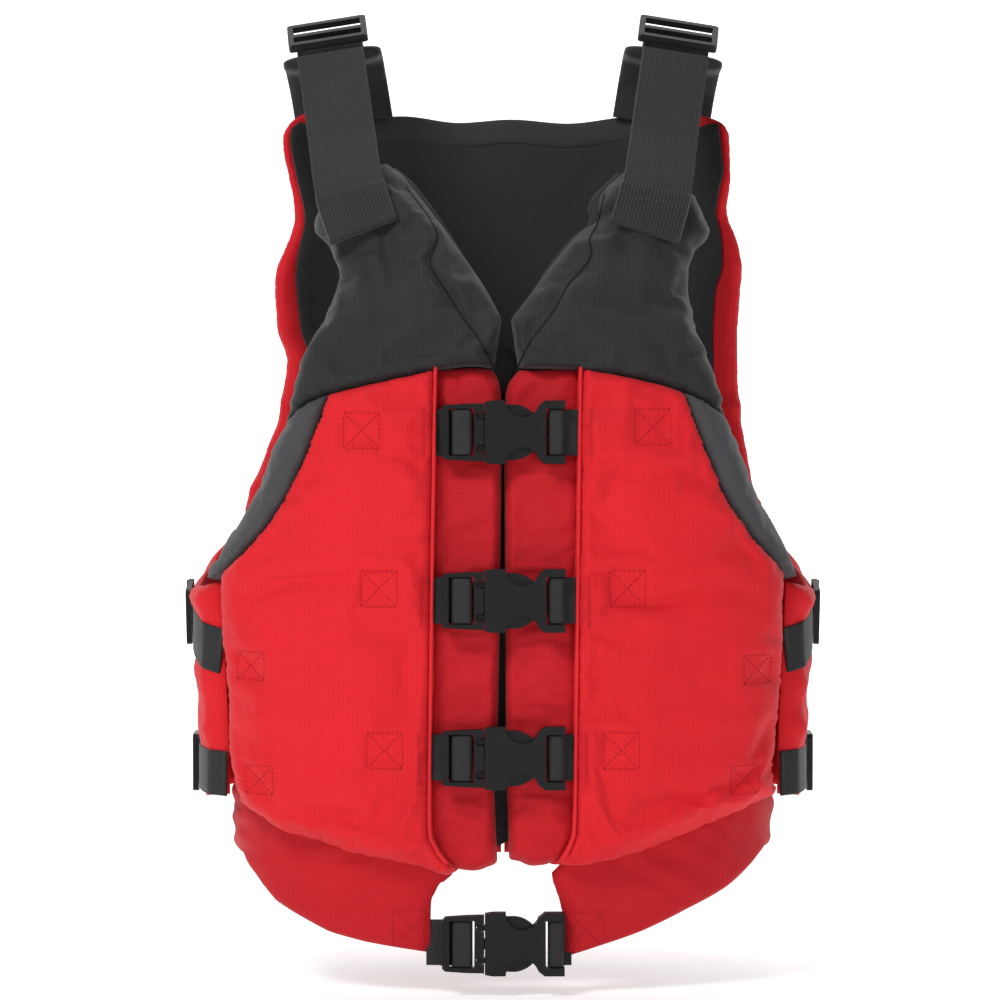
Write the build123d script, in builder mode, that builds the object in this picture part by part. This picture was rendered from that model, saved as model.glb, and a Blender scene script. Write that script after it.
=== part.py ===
"""Foam-filled paddling life jacket, held in its worn shape as on a wearer's torso.

Frame: +Z up, the front faces -Y, +X is the wearer's left. The origin is on the torso's upright
axis, level with the lower hem of the front panels. All lengths are in millimetres.
The jacket is built in two halves that meet at the front opening (x = 0) and at the back's fold line.
"""

import math
import os

from build123d import *

# ---- driving dimensions -------------------------------------------------------------------
# Wearer's torso: height, half width, front depth, back depth and the foam's thickness there.
STATIONS = [
    (-62, 137, 84, 88, 30),
    (0, 142, 90, 93, 32),
    (80, 144, 93, 95, 32),
    (160, 148, 94, 96, 32),
    (260, 148, 88.5, 96, 32),
    (300, 144, 80, 93, 29),
    (350, 138, 61, 87, 23),
    (400, 131, 38, 78, 16),
    (450, 126, 12, 66, 12),
]
ROUNDNESS = 2.5  # exponent of the plan's superellipse: 2 is an ellipse
PLAN_POINTS = 24
FABRIC = 1.4  # thickness of a cover or lining
LINING = 1.2
FIT = 0.3  # clearance between separate pieces
SEAM_X = 155  # side seams, where the front and back panels end
REACH = 140
CENTRE_GAP = 1.5  # half the gap between the two front panels
FOLD_GAP = 0.2  # half the gap between the back's halves
PLACKET_SHARE = 0.62  # placket thickness over foam thickness
SIDE_SKIN = (27.0, 30.0)  # the side panel's inner and outer offsets from the torso
SIDE_STRAP = (30.4, 32.0)
WING_SKIN = (6.0, 12.5)

FRONT_WEBBING = 25.4  # nominal one inch
SHOULDER_WEBBING = 38.1  # nominal one and a half inch
WEBBING = 1.6  # thickness of every strap

# Buckles: name, height and sideways offset of the centre.
FRONT_BUCKLES = [("chest", 243), ("middle", 151), ("lower", 65)]
WAIST_BUCKLE = ("waist", -39)
BUCKLE_CLEAR = 10.2  # from the placket to the middle of a front buckle
WAIST_DEPTH = 101.4  # from y = 0 to the middle of the waist buckle

os.makedirs("parts", exist_ok=True)


def save(name, part):
    """Labels one finished piece and writes its STEP file."""
    part.label = name
    export_step(part, f"parts/{name}.step")


def save_pair(name, part):
    """Writes a left-hand piece and its mirror image for the wearer's right."""
    save(f"{name}_left", part)
    with BuildPart() as other:
        mirror(part, about=Plane.YZ)
    save(f"{name}_right", other.part)


# ---- the torso and the layers around it ---------------------------------------------------
def section_points(half_width, front, back):
    """Points of one plan section, a superellipse deeper or shallower at the front."""
    points = []
    for k in range(PLAN_POINTS):
        angle = 2 * math.pi * k / PLAN_POINTS
        c, s = math.cos(angle), math.sin(angle)
        depth = back if s > 0 else front
        x = half_width * math.copysign(abs(c) ** (2 / ROUNDNESS), c)
        y = depth * math.copysign(abs(s) ** (2 / ROUNDNESS), s)
        points.append((x, y))
    return points


def layer(share, extra=0.0):
    """The torso grown by a share of the foam's thickness and an extra distance."""
    with BuildPart() as solid:
        for z, half_width, front, back, foam in STATIONS:
            grow = share * foam + extra
            with BuildSketch(Plane.XY.offset(z)):
                with BuildLine():
                    Spline(*section_points(half_width + grow, front + grow, back + grow), periodic=True)
                make_face()
        loft()
    return solid.part


def station_value(z, column):
    """A column of STATIONS at height z, straight between its rows."""
    for low, high in zip(STATIONS, STATIONS[1:]):
        if z <= high[0]:
            t = (z - low[0]) / (high[0] - low[0])
            return low[column] + t * (high[column] - low[column])
    return STATIONS[-1][column]


torso = layer(0.0)
over_lining = layer(0.0, LINING)
foam_bottom = layer(0.0, LINING + FIT)
foam_top = layer(1.0, -FABRIC - FIT)
under_cover = layer(1.0, -FABRIC)
outside = layer(1.0)
placket_top = layer(PLACKET_SHARE)


# ---- outlines of the left half, seen from the front ---------------------------------------
HEM = [(CENTRE_GAP, 4), (22, 1), (48, 3.5), (82, 10.5), (110, 21), (135, 31), (SEAM_X, 39)]
SIDE_SEAM_TOP = (SEAM_X, 157)
ARMHOLE = [(176, 159), (158, 180), (143, 204), (132, 228), (123, 250), (114.5, 275)]
ARMHOLE += [(105, 303), (98.5, 322), (98.5, 336), (107, 352), (110, 364)]
NECK = [(69, 396), (48, 378), (36, 362), (22, 341), (11, 325), (CENTRE_GAP, 307)]
YOKE_SEAM = [(-5, 280), (34, 278.5), (67, 273), (97, 264.5), (112, 258), (130, 240)]
BAND_SEAM = [(97, 264.5), (112, 227), (124, 204), (141, 183), (SEAM_X, 170), (180, 157)]
PLACKET_EDGE = [(39, 290), (40, 160), (40.5, 65), (39, 26), (32, 9), (24, -12)]
BACK_SIDE = [(SEAM_X, 196), (150, 215), (141, 256), (139, 300), (140, 340), (133, 376), (134, 412), (121, 434)]
BACK_TOP = 434
BACK_BOTTOM = 20
# Side views, as (y, z) points, of where the panels end towards the wearer's sides.
FRONT_EDGE = [(-52, -20), (-52, 240), (-28, 330), (-28, 420), (-160, 420), (-160, -20)]
BACK_EDGE = [(52, 0), (52, 196), (36, 260), (30, 440), (160, 440), (160, 0)]


def grown(shape, amount):
    """A flat shape with its outline moved outwards, or inwards for a negative amount."""
    moved = offset(shape, amount=amount, kind=Kind.INTERSECTION)
    with BuildSketch() as plain:
        with BuildLine():
            for edge in moved.edges():
                if edge.geom_type == GeomType.LINE:
                    Line(edge @ 0, edge @ 1)
                else:
                    Spline(*[edge @ (k / 16) for k in range(17)])
        make_face()
    return plain.sketch


with BuildSketch() as front_shape:
    with BuildLine():
        Spline(*HEM)
        Polyline(HEM[-1], SIDE_SEAM_TOP, ARMHOLE[0])
        Spline(*ARMHOLE)
        Polyline(ARMHOLE[-1], (105, 374), NECK[0])
        Spline(*NECK)
        Line(NECK[-1], HEM[0])
    make_face()
with BuildSketch() as yoke_shape:
    with BuildLine():
        Spline(*YOKE_SEAM)
        Polyline(YOKE_SEAM[-1], (200, 240), (200, 460), (-5, 460), YOKE_SEAM[0])
    make_face()
with BuildSketch() as band_shape:
    with BuildLine():
        Spline(*BAND_SEAM)
        Polyline(BAND_SEAM[-1], (220, 157), (220, 300), (97, 300), BAND_SEAM[0])
    make_face()
with BuildSketch() as back_shape:
    with BuildLine():
        Polyline((FOLD_GAP, BACK_TOP), (FOLD_GAP, BACK_BOTTOM), (SEAM_X, BACK_BOTTOM), BACK_SIDE[0])
        Spline(*BACK_SIDE)
        Line(BACK_SIDE[-1], (FOLD_GAP, BACK_TOP))
    make_face()
with BuildSketch() as front_edge:
    Polygon(*FRONT_EDGE, align=None)
with BuildSketch() as back_edge:
    Polygon(*BACK_EDGE, align=None)


def placket_strip(shift):
    """The strip beside the front opening, where the buckles lie, with its edge shifted outwards."""
    edge = [(x + shift, z) for x, z in PLACKET_EDGE]
    with BuildSketch() as strip:
        with BuildLine():
            Spline(*edge)
            Polyline(edge[-1], (-20, -12), (-20, 290), edge[0])
        make_face()
        add(yoke_shape.sketch, mode=Mode.SUBTRACT)
    return strip.sketch


def front_prism(shape):
    """A shape seen from the front, run forwards from the plane y = 0."""
    with BuildPart() as prism:
        with BuildSketch(Plane.XZ):
            add(shape)
        extrude(amount=REACH)
    return prism.part


def back_prism(shape):
    """A shape seen from the front, run backwards from the plane y = 0."""
    with BuildPart() as prism:
        with BuildSketch(Plane.XZ):
            add(shape)
        extrude(amount=-REACH)
    return prism.part


def edge_prism(shape):
    """A side view run right across the jacket."""
    with BuildPart() as prism:
        with BuildSketch(Plane.YZ):
            add(shape)
        extrude(amount=200, both=True)
    return prism.part


def between(region, inner, outer, keep=(), remove=()):
    """The part of a region that lies between two layers, limited and cut by other solids."""
    with BuildPart() as piece:
        add(region)
        add(outer, mode=Mode.INTERSECT)
        add(inner, mode=Mode.SUBTRACT)
        for other in keep:
            add(other, mode=Mode.INTERSECT)
        for other in remove:
            add(other, mode=Mode.SUBTRACT)
    return piece.part


def panel_region(prism, shape, edge, inset):
    """A whole panel's outline, moved inwards by an inset on every side."""
    if inset:
        return prism(grown(shape, -inset)) & edge_prism(grown(edge, -inset))
    return prism(shape) & edge_prism(edge)


def ribbon(plane, points, radius, width, thickness=WEBBING):
    """Webbing: a bent strip drawn edge-on in a plane and extruded to its width."""
    with BuildPart() as strip:
        with BuildSketch(plane):
            with BuildLine():
                FilletPolyline(*points, radius=radius)
            trace(line_width=thickness)
        extrude(amount=width / 2, both=True)
    return strip.part


# ---- shoulder strap plane, leaning outwards towards the top -------------------------------
SHOULDER_X = 82.0
SHOULDER_Z = 353.0
LEAN = 9.0
lean_x, lean_z = math.sin(math.radians(LEAN)), math.cos(math.radians(LEAN))
# Its first coordinate is y and its second runs up the strap.
shoulder = Plane(
    origin=(SHOULDER_X - lean_x * SHOULDER_Z, 0, SHOULDER_Z * (1 - lean_z)),
    x_dir=(0, 1, 0),
    z_dir=(lean_z, 0, -lean_x),
)
LOCK_REAR = (4.0, 484.0)  # the shoulder lock's rear bar, which it tilts about
LOCK_PITCH = 34.0
STRAP_UNDER = [(-6.5, 470.0), (-47.0, 402.0), (-62.0, 358.0)]
TAIL_PATH = [(-20.5, 464.5), (-50.0, 414.0), (-71.0, 380.0), (-87.0, 341.0)]
PAD_PATH = [(60.8, 426.0), (57.0, 452.0), (37.0, 465.7), (9.0, 465.7)]
PAD_FOOT = BACK_TOP + FIT  # the pad is cut level where it stands on the back panel's top edge
PAD_STRAP = [(36.0, 471.2), (15.0, 471.2), (7.6, 479.4)]
PAD_WIDTH = 58
PAD_THICKNESS = 8
TAIL_THICKNESS = 2.4

strap_slot = ribbon(shoulder, STRAP_UNDER, 20, SHOULDER_WEBBING + 2 * FIT, WEBBING + 2 * FIT)


# ---- front panels -------------------------------------------------------------------------
def placket_depth(z):
    """How far the placket's face stands in front of the plane y = 0."""
    return station_value(z, 2) + PLACKET_SHARE * station_value(z, 4)


def buckle_depth(z):
    """How far the middle of a front buckle stands in front of the plane y = 0."""
    return max(placket_depth(z - 15), placket_depth(z)) + BUCKLE_CLEAR


TUNNEL = (36.0, 62.0)  # webbing tunnels run sideways into the foam
with BuildPart() as tunnels:
    for _, height in FRONT_BUCKLES:
        with Locations(((TUNNEL[0] + TUNNEL[1]) / 2, -(buckle_depth(height) - 6.5), height)):
            Box(TUNNEL[1] - TUNNEL[0], 4.2, FRONT_WEBBING + 1.0)

whole = panel_region(front_prism, front_shape.sketch, front_edge.sketch, 0)
hollow = panel_region(front_prism, front_shape.sketch, front_edge.sketch, FABRIC)
foam_room = panel_region(front_prism, front_shape.sketch, front_edge.sketch, FABRIC + FIT)
yoke_zone = front_prism(yoke_shape.sketch)
band_zone = front_prism(band_shape.sketch)
placket_zone = front_prism(placket_strip(0))
placket_walled = front_prism(placket_strip(FABRIC))
placket_clear = front_prism(placket_strip(FABRIC + FIT))
slack = tunnels.part + strap_slot

front_lining = between(whole, torso, over_lining)
placket = between(whole, over_lining, placket_top, keep=[placket_zone])
front_foam = between(foam_room, foam_bottom, foam_top, remove=[placket_clear, slack])

# One tray of fabric round the foam, open towards the lining, walled along the placket.
with BuildPart() as tray:
    add(between(whole, over_lining, outside, remove=[placket_zone]))
    add(hollow & under_cover - placket_walled, mode=Mode.SUBTRACT)
    add(slack, mode=Mode.SUBTRACT)
# It is sewn from three fabrics: chest, shoulder yoke and armhole band.
with BuildPart() as chest_cover:
    add(tray.part)
    add(yoke_zone, mode=Mode.SUBTRACT)
    add(band_zone, mode=Mode.SUBTRACT)
with BuildPart() as yoke:
    add(tray.part)
    add(yoke_zone, mode=Mode.INTERSECT)
with BuildPart() as band:
    add(tray.part)
    add(band_zone, mode=Mode.INTERSECT)
    add(yoke_zone, mode=Mode.SUBTRACT)

save_pair("front_cover", chest_cover.part)
save_pair("front_yoke", yoke.part)
save_pair("armhole_band", band.part)
save_pair("front_placket", placket)
save_pair("front_lining", front_lining)
save_pair("front_foam", front_foam)

# ---- back panel, in two halves that fold at x = 0 -----------------------------------------
back_whole = panel_region(back_prism, back_shape.sketch, back_edge.sketch, 0)
back_hollow = panel_region(back_prism, back_shape.sketch, back_edge.sketch, FABRIC)
back_room = panel_region(back_prism, back_shape.sketch, back_edge.sketch, FABRIC + FIT)
back_cover = between(back_whole, over_lining, outside, remove=[back_hollow & under_cover])
save_pair("back_cover", back_cover)
save_pair("back_lining", between(back_whole, torso, over_lining))
save_pair("back_foam", between(back_room, foam_bottom, foam_top))


# ---- side panels and their adjusting straps -----------------------------------------------
def side_prism(points):
    """A side-view outline, as (y, z) points, run outwards from the side seams."""
    with BuildPart() as prism:
        with BuildSketch(Plane.YZ.offset(SEAM_X + 2 * FIT)):
            Polygon(*points, align=None)
        extrude(amount=60)
    return prism.part


SIDE_OUTLINE = [(-95, 39), (0, 33), (95, 36), (95, 184), (60, 172), (0, 157), (-95, 157)]
save_pair("side_panel", between(side_prism(SIDE_OUTLINE), layer(0.0, SIDE_SKIN[0]), layer(0.0, SIDE_SKIN[1])))


def ladder_lock(width, length, thickness):
    """A flat frame with two slots; its first bar lies on the x axis and it runs along -y."""
    bar = 3.4
    slot = (length - 3 * bar) / 2
    with BuildPart() as lock:
        with BuildSketch(Plane.XY.offset(-thickness / 2)):
            with Locations((0, bar / 2 - length / 2)):
                RectangleRounded(width, length, 2.4)
            for middle in (bar / 2 + slot / 2, bar * 1.5 + slot * 1.5):
                with Locations((0, -middle)):
                    Rectangle(width - 2 * bar, slot, mode=Mode.SUBTRACT)
        extrude(amount=thickness)
        # a raised grip lip across the free end
        with BuildSketch(Plane.XY.offset(thickness / 2 - 0.2)):
            with Locations((0, bar - length)):
                RectangleRounded(width * 0.94, bar * 0.9, 1.2)
        extrude(amount=1.4)
    return lock.part


# name, height at the front seam, height at the back seam
SIDE_STRAPS = [("upper", 110, 166), ("lower", 50, 58)]
SIDE_STRAP_END = 95  # how far each side strap reaches forwards and back
LOCK_THICK = 3.2
LOCK_Y = 0.0  # the bar a side lock tilts about
LOCK_CLEAR = 0.6  # from a side strap to the lock over it
side_lock = ladder_lock(33, 26, LOCK_THICK)
strap_inner, strap_outer = layer(0.0, SIDE_STRAP[0]), layer(0.0, SIDE_STRAP[1])
for name, z_front, z_back in SIDE_STRAPS:
    slope = math.atan2(z_back - z_front, 2 * SIDE_STRAP_END)
    half = FRONT_WEBBING / 2 / math.cos(slope)
    front_end, back_end = -SIDE_STRAP_END, SIDE_STRAP_END
    outline = [(front_end, z_front - half), (back_end, z_back - half)]
    outline += [(back_end, z_back + half), (front_end, z_front + half)]
    save_pair(f"side_strap_{name}", between(side_prism(outline), strap_inner, strap_outer))
    middle = (z_front + z_back) / 2
    face = station_value(middle + 18, 1) + SIDE_STRAP[1] + LOCK_CLEAR + LOCK_THICK / 2
    with BuildPart() as placed:
        strap_width_dir = (0, -math.sin(slope), math.cos(slope))
        with Locations(Plane(origin=(face, LOCK_Y, middle), x_dir=strap_width_dir, z_dir=(1, 0, 0))):
            add(side_lock)
    save_pair(f"side_lock_{name}", placed.part)

# ---- belt wings ---------------------------------------------------------------------------
WING_TOP = [(48, 0), (82, 7), (110, 17.5), (135, 27.5), (152, 31)]
WING_BOTTOM = [(37, -49), (75, -40), (100, -30), (125, -16), (142, -2)]
WING_BACK = [(FOLD_GAP, 19.4), (FOLD_GAP, -12), (100, -9), (142, -2), (175, 6), (175, 31), (158, 31), (157, 19.4)]
with BuildPart() as wing:
    with BuildSketch(Plane.XZ):
        with BuildLine():
            Polyline((37, -49), (37, -19), (30, -2), *WING_TOP, (175, 31), (175, 6), (142, -2))
            Spline(*WING_BOTTOM)
        make_face()
    extrude(amount=REACH)
    with BuildSketch(Plane.XZ):
        Polygon(*WING_BACK, align=None)
    extrude(amount=-REACH)
    add(layer(0.0, WING_SKIN[1]), mode=Mode.INTERSECT)
    add(layer(0.0, WING_SKIN[0]), mode=Mode.SUBTRACT)
    with Locations((44, -(WAIST_DEPTH - 7.4), WAIST_BUCKLE[1])):
        Box(16, 2.4, FRONT_WEBBING + 1.0, mode=Mode.SUBTRACT)
save_pair("belt_wing", wing.part)

# ---- shoulder pads, straps and locks ------------------------------------------------------
with BuildPart() as pad:
    add(ribbon(shoulder, PAD_PATH, 12, PAD_WIDTH, PAD_THICKNESS))
    split(bisect_by=Plane.XY.offset(PAD_FOOT), keep=Keep.TOP)
save_pair("shoulder_pad", pad.part)
save_pair("shoulder_pad_webbing", ribbon(shoulder, PAD_STRAP, 4, SHOULDER_WEBBING))
save_pair("shoulder_webbing", ribbon(shoulder, STRAP_UNDER, 20, SHOULDER_WEBBING))
save_pair("shoulder_tail", ribbon(shoulder, TAIL_PATH, 30, SHOULDER_WEBBING, TAIL_THICKNESS))

pitch = math.radians(LOCK_PITCH)
rear = shoulder.from_local_coords(LOCK_REAR)
front = shoulder.from_local_coords((LOCK_REAR[0] - math.cos(pitch), LOCK_REAR[1] - math.sin(pitch)))
across = shoulder.z_dir
with BuildPart() as placed:
    with Locations(Plane(origin=rear, x_dir=across, z_dir=across.cross(rear - front))):
        add(ladder_lock(46, 28, 3.6))
save_pair("shoulder_lock", placed.part)

# ---- side-release buckles -----------------------------------------------------------------
SOCKET_MOUTH = -10.0
SOCKET_END = 23.6
LUG_END = 34.0
BUCKLE_HALF = 17.3  # half of the widest height
SOCKET_THICK = 11.0
CAVITY_HALF = 14.0
CAVITY_THICK = 7.0
PLUG_LEFT = -33.6
PLUG_RIGHT = SOCKET_MOUTH - 0.4
PLUG_THICK = 9.0
SLOT_HALF = FRONT_WEBBING / 2 + 0.25
PRONG_ROOT = (-12.6, 9.0)
PRONG_TIP = 19.0
PRONG_HALF = 15.2
SOCKET_BAR = (27.5, 31.0)
PLUG_BAR = (-25.2, -19.5)
PLUG_SLOT_A = -29.6
PLUG_SLOT_B = -15.8

with BuildPart() as socket:
    with BuildSketch(Plane.XZ.offset(-SOCKET_THICK / 2)):
        with BuildLine():
            Polyline((SOCKET_MOUTH, 0), (SOCKET_MOUTH, 16.6), (-6, BUCKLE_HALF), (1.5, BUCKLE_HALF))
            ThreePointArc((1.5, BUCKLE_HALF), (10.5, 8.2), (19.5, 14.6))
            Polyline((19.5, 14.6), (23, BUCKLE_HALF), (LUG_END, BUCKLE_HALF), (LUG_END, 12.95))
            Polyline((LUG_END, 12.95), (SOCKET_END, 12.95), (SOCKET_END, 0), (SOCKET_MOUTH, 0))
        make_face()
        mirror(about=Plane.XZ)
    extrude(amount=SOCKET_THICK)
    with Locations(((SOCKET_MOUTH + 21) / 2, 0, 0)):
        Box(21 - SOCKET_MOUTH, CAVITY_THICK, 2 * CAVITY_HALF, mode=Mode.SUBTRACT)
    with Locations((10, 0, 16), (10, 0, -16)):
        Box(20, CAVITY_THICK, 8, mode=Mode.SUBTRACT)
    with Locations(((SOCKET_BAR[0] + SOCKET_BAR[1]) / 2, 0, 0)):
        Box(SOCKET_BAR[1] - SOCKET_BAR[0], 3.4, 27)

with BuildPart() as plug:
    with BuildSketch(Plane.XZ.offset(-PLUG_THICK / 2)):
        with BuildLine():
            Polyline((PLUG_LEFT, 0), (PLUG_LEFT, 13.2), (-32, 14.8), (-20, 15.6), (PLUG_RIGHT, 15.8))
            Polyline((PLUG_RIGHT, 15.8), (PLUG_RIGHT, 0), (PLUG_LEFT, 0))
        make_face()
        mirror(about=Plane.XZ)
    extrude(amount=PLUG_THICK)
    slot_middle, slot_length = (PLUG_SLOT_A + PLUG_SLOT_B) / 2, PLUG_SLOT_B - PLUG_SLOT_A
    with Locations((slot_middle, 0, 0)):
        Box(slot_length, PLUG_THICK, 2 * SLOT_HALF, mode=Mode.SUBTRACT)
    with Locations(((PLUG_BAR[0] + PLUG_BAR[1]) / 2, 0, 0)):
        Box(PLUG_BAR[1] - PLUG_BAR[0], 3.0, 2 * SLOT_HALF + 1)
    with Locations((PLUG_RIGHT + 7, 0, 0)):
        Box(15, 3.0, 6)
    for sign in (1, -1):
        with Locations((PRONG_ROOT[0], 0, sign * PRONG_ROOT[1])):
            Cylinder(2.2, PLUG_THICK, rotation=(90, 0, 0), mode=Mode.SUBTRACT)
        with Locations((PRONG_ROOT[0] + 2, 0, sign * PRONG_ROOT[1])):
            Box(4, PLUG_THICK, 4.2, mode=Mode.SUBTRACT)

with BuildPart() as prong:
    with BuildSketch(Plane.XZ.offset(-2.5)):
        with Locations(PRONG_ROOT):
            Circle(1.9)
        with BuildLine():
            Polyline((-12.6, 7.6), (6, 7.6), (PRONG_TIP - 2, 5.6), (PRONG_TIP, 7))
            ThreePointArc((PRONG_TIP, 7), (13, 13.2), (4.5, PRONG_HALF))
            Polyline((4.5, PRONG_HALF), (0.4, PRONG_HALF - 0.2), (0.4, 10.4), (-12.6, 10.4), (-12.6, 7.6))
        make_face()
    extrude(amount=5.0)

LAYER_LOW = -7.4
LAYER_HIGH = -5.6
SLOT_A_X = (PLUG_SLOT_A + PLUG_BAR[0]) / 2
SLOT_B_X = (PLUG_SLOT_B + PLUG_BAR[1]) / 2
SOCKET_SLOT_X = (SOCKET_END + SOCKET_BAR[0]) / 2


def plug_strap(depth, height, anchor, fold_end):
    """Webbing that comes out of its tunnel, goes over the plug's bar and doubles back."""
    route = [(-anchor, LAYER_LOW), (SLOT_B_X, LAYER_LOW), (SLOT_B_X, 2.6), (SLOT_A_X, 2.6)]
    route += [(SLOT_A_X, LAYER_HIGH), (-fold_end, LAYER_HIGH)]
    return ribbon(Plane.XY.offset(height), [(x, -depth - h) for x, h in route], 1.5, FRONT_WEBBING)


def socket_strap(depth, height, anchor, fold_end):
    """Webbing that comes out of its tunnel, goes round the socket's bar and doubles back."""
    route = [(anchor, LAYER_LOW), (SOCKET_SLOT_X, LAYER_LOW), (SOCKET_SLOT_X, 2.8), (32.4, 2.8)]
    route += [(32.4, LAYER_HIGH), (fold_end, LAYER_HIGH)]
    return ribbon(Plane.XY.offset(height), [(x, -depth - h) for x, h in route], 1.5, FRONT_WEBBING)


buckles = [(name, height, buckle_depth(height)) for name, height in FRONT_BUCKLES]
buckles.append((*WAIST_BUCKLE, WAIST_DEPTH))
for name, height, depth in buckles:
    with BuildPart() as placed_socket:
        with Locations((0, -depth, height)):
            add(socket.part)
    save(f"buckle_{name}_socket", placed_socket.part)
    with BuildPart() as placed_plug:
        with Locations((0, -depth, height)):
            add(plug.part)
    save(f"buckle_{name}_plug", placed_plug.part)
    with BuildPart() as prong_upper:
        with Locations((0, -depth, height)):
            add(prong.part)
    save(f"buckle_{name}_prong_upper", prong_upper.part)
    with BuildPart() as prong_lower:
        mirror(prong_upper.part, about=Plane.XY.offset(height))
    save(f"buckle_{name}_prong_lower", prong_lower.part)

ANCHORS = {"waist": (51, 36)}  # where a strap ends, and where its doubled end stops
with BuildPart() as right_webbing:
    for name, height, depth in buckles:
        add(plug_strap(depth, height, *ANCHORS.get(name, (60, 50))))
save("buckle_webbing_right", right_webbing.part)
with BuildPart() as left_webbing:
    for name, height, depth in buckles:
        add(socket_strap(depth, height, *ANCHORS.get(name, (60, 50))))
save("buckle_webbing_left", left_webbing.part)
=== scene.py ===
import math

import bpy
import numpy as np
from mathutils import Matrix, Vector, geometry, noise
from mathutils.bvhtree import BVHTree
from mathutils.kdtree import KDTree


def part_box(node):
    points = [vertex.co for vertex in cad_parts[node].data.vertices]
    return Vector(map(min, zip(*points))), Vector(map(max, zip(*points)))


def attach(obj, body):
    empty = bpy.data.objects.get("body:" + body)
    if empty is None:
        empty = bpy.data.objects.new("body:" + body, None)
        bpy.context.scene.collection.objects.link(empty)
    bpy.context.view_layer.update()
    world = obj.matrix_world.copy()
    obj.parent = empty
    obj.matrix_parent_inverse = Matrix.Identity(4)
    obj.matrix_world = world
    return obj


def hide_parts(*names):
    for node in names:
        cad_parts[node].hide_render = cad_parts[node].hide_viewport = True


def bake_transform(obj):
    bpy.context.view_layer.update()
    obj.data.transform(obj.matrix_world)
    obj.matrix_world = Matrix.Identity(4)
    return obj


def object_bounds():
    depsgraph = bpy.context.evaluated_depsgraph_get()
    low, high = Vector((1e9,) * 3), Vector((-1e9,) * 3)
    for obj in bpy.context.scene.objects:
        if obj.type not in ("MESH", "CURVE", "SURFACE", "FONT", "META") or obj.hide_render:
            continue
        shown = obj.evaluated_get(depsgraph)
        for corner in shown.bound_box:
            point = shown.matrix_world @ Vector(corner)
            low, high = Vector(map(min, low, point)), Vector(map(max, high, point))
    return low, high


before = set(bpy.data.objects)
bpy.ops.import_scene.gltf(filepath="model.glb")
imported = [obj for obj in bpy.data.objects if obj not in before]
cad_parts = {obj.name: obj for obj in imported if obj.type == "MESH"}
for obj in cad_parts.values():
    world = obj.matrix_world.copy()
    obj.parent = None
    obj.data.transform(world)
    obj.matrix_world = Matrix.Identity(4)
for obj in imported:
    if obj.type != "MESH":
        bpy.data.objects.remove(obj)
cad_low, cad_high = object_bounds()

# ---------------------------------------------------------------------------------------------
# The torso the jacket is worn on, in millimetres: height, half width, front depth, back depth, foam.
STATIONS = np.array(
    [
        (-62, 137, 84, 88, 30),
        (0, 142, 90, 93, 32),
        (80, 144, 93, 95, 32),
        (160, 148, 94, 96, 32),
        (260, 148, 88.5, 96, 32),
        (300, 144, 80, 93, 29),
        (350, 138, 61, 87, 23),
        (400, 131, 38, 78, 16),
        (450, 126, 12, 66, 12),
    ],
    float,
)
ROUNDNESS = 2.5
PLACKET_SHARE = 0.62
MM = 0.001
# One-inch webbing on the front and sides, and one and a half inches at the shoulders.
WEB, WIDE_WEB, WEB_THICK = 25.4, 38.1, 1.8
# Columns of STATIONS.
HALF_WIDTH, FRONT_DEPTH, BACK_DEPTH, FOAM = 1, 2, 3, 4
# A point seen past this share of the half width is taken as being at the side.
WIDEST = 0.985
# Folds stand out this much more than listed with the outlines.
FOLD_DEPTH = 1.4


def station(z, column):
    """A column of STATIONS at heights z, on a smooth curve through its rows."""
    z = np.clip(np.asarray(z, float), STATIONS[0, 0], STATIONS[-1, 0])
    heights, values = STATIONS[:, 0], STATIONS[:, column]
    slopes = np.gradient(values, heights)
    k = np.clip(np.searchsorted(heights, z) - 1, 0, len(heights) - 2)
    span = heights[k + 1] - heights[k]
    t = (z - heights[k]) / span
    return (
        (2 * t**3 - 3 * t**2 + 1) * values[k]
        + (t**3 - 2 * t**2 + t) * span * slopes[k]
        + (3 * t**2 - 2 * t**3) * values[k + 1]
        + (t**3 - t**2) * span * slopes[k + 1]
    )


def skin(x, z, h, back=False, seen=None):
    """The point at offset h from the torso, on the ray inwards from the one seen at (x, z) at offset
    seen."""
    x, z, h = np.broadcast_arrays(np.asarray(x, float), np.asarray(z, float), np.asarray(h, float))
    half = station(z, HALF_WIDTH)
    share = np.clip(np.abs(x) / (half + (h if seen is None else seen)), 0, WIDEST)
    depth = (1 - share**ROUNDNESS) ** (1 / ROUNDNESS)
    y = (station(z, BACK_DEPTH) + h) * depth if back else -(station(z, FRONT_DEPTH) + h) * depth
    return np.stack([np.sign(x) * share * (half + h), y, z], -1)


def around(angle, z, h):
    """The point at offset h from the torso at a plan angle: -90 degrees is the front, 0 the wearer's
    left."""
    angle, z, h = np.broadcast_arrays(np.asarray(angle, float), np.asarray(z, float), np.asarray(h, float))
    c, s = np.cos(np.radians(angle)), np.sin(np.radians(angle))
    power = 2 / ROUNDNESS
    x = (station(z, HALF_WIDTH) + h) * np.sign(c) * np.abs(c) ** power
    reach = np.where(s > 0, station(z, BACK_DEPTH), station(z, FRONT_DEPTH))
    y = (reach + h) * np.sign(s) * np.abs(s) ** power
    return np.stack([x, y, z], -1)


def on_front(x, z, h, seen):
    return skin(x, z, h, seen=seen)


def on_back(x, z, h, seen):
    return skin(x, z, h, back=True, seen=seen)


def angle_of(x, z, h):
    """The plan angle away from the wearer's side of the point at offset h that is seen at x."""
    share = np.clip(np.abs(x) / (station(z, HALF_WIDTH) + h), 0, WIDEST)
    return np.degrees(np.arccos(share ** (ROUNDNESS / 2)))


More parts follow.
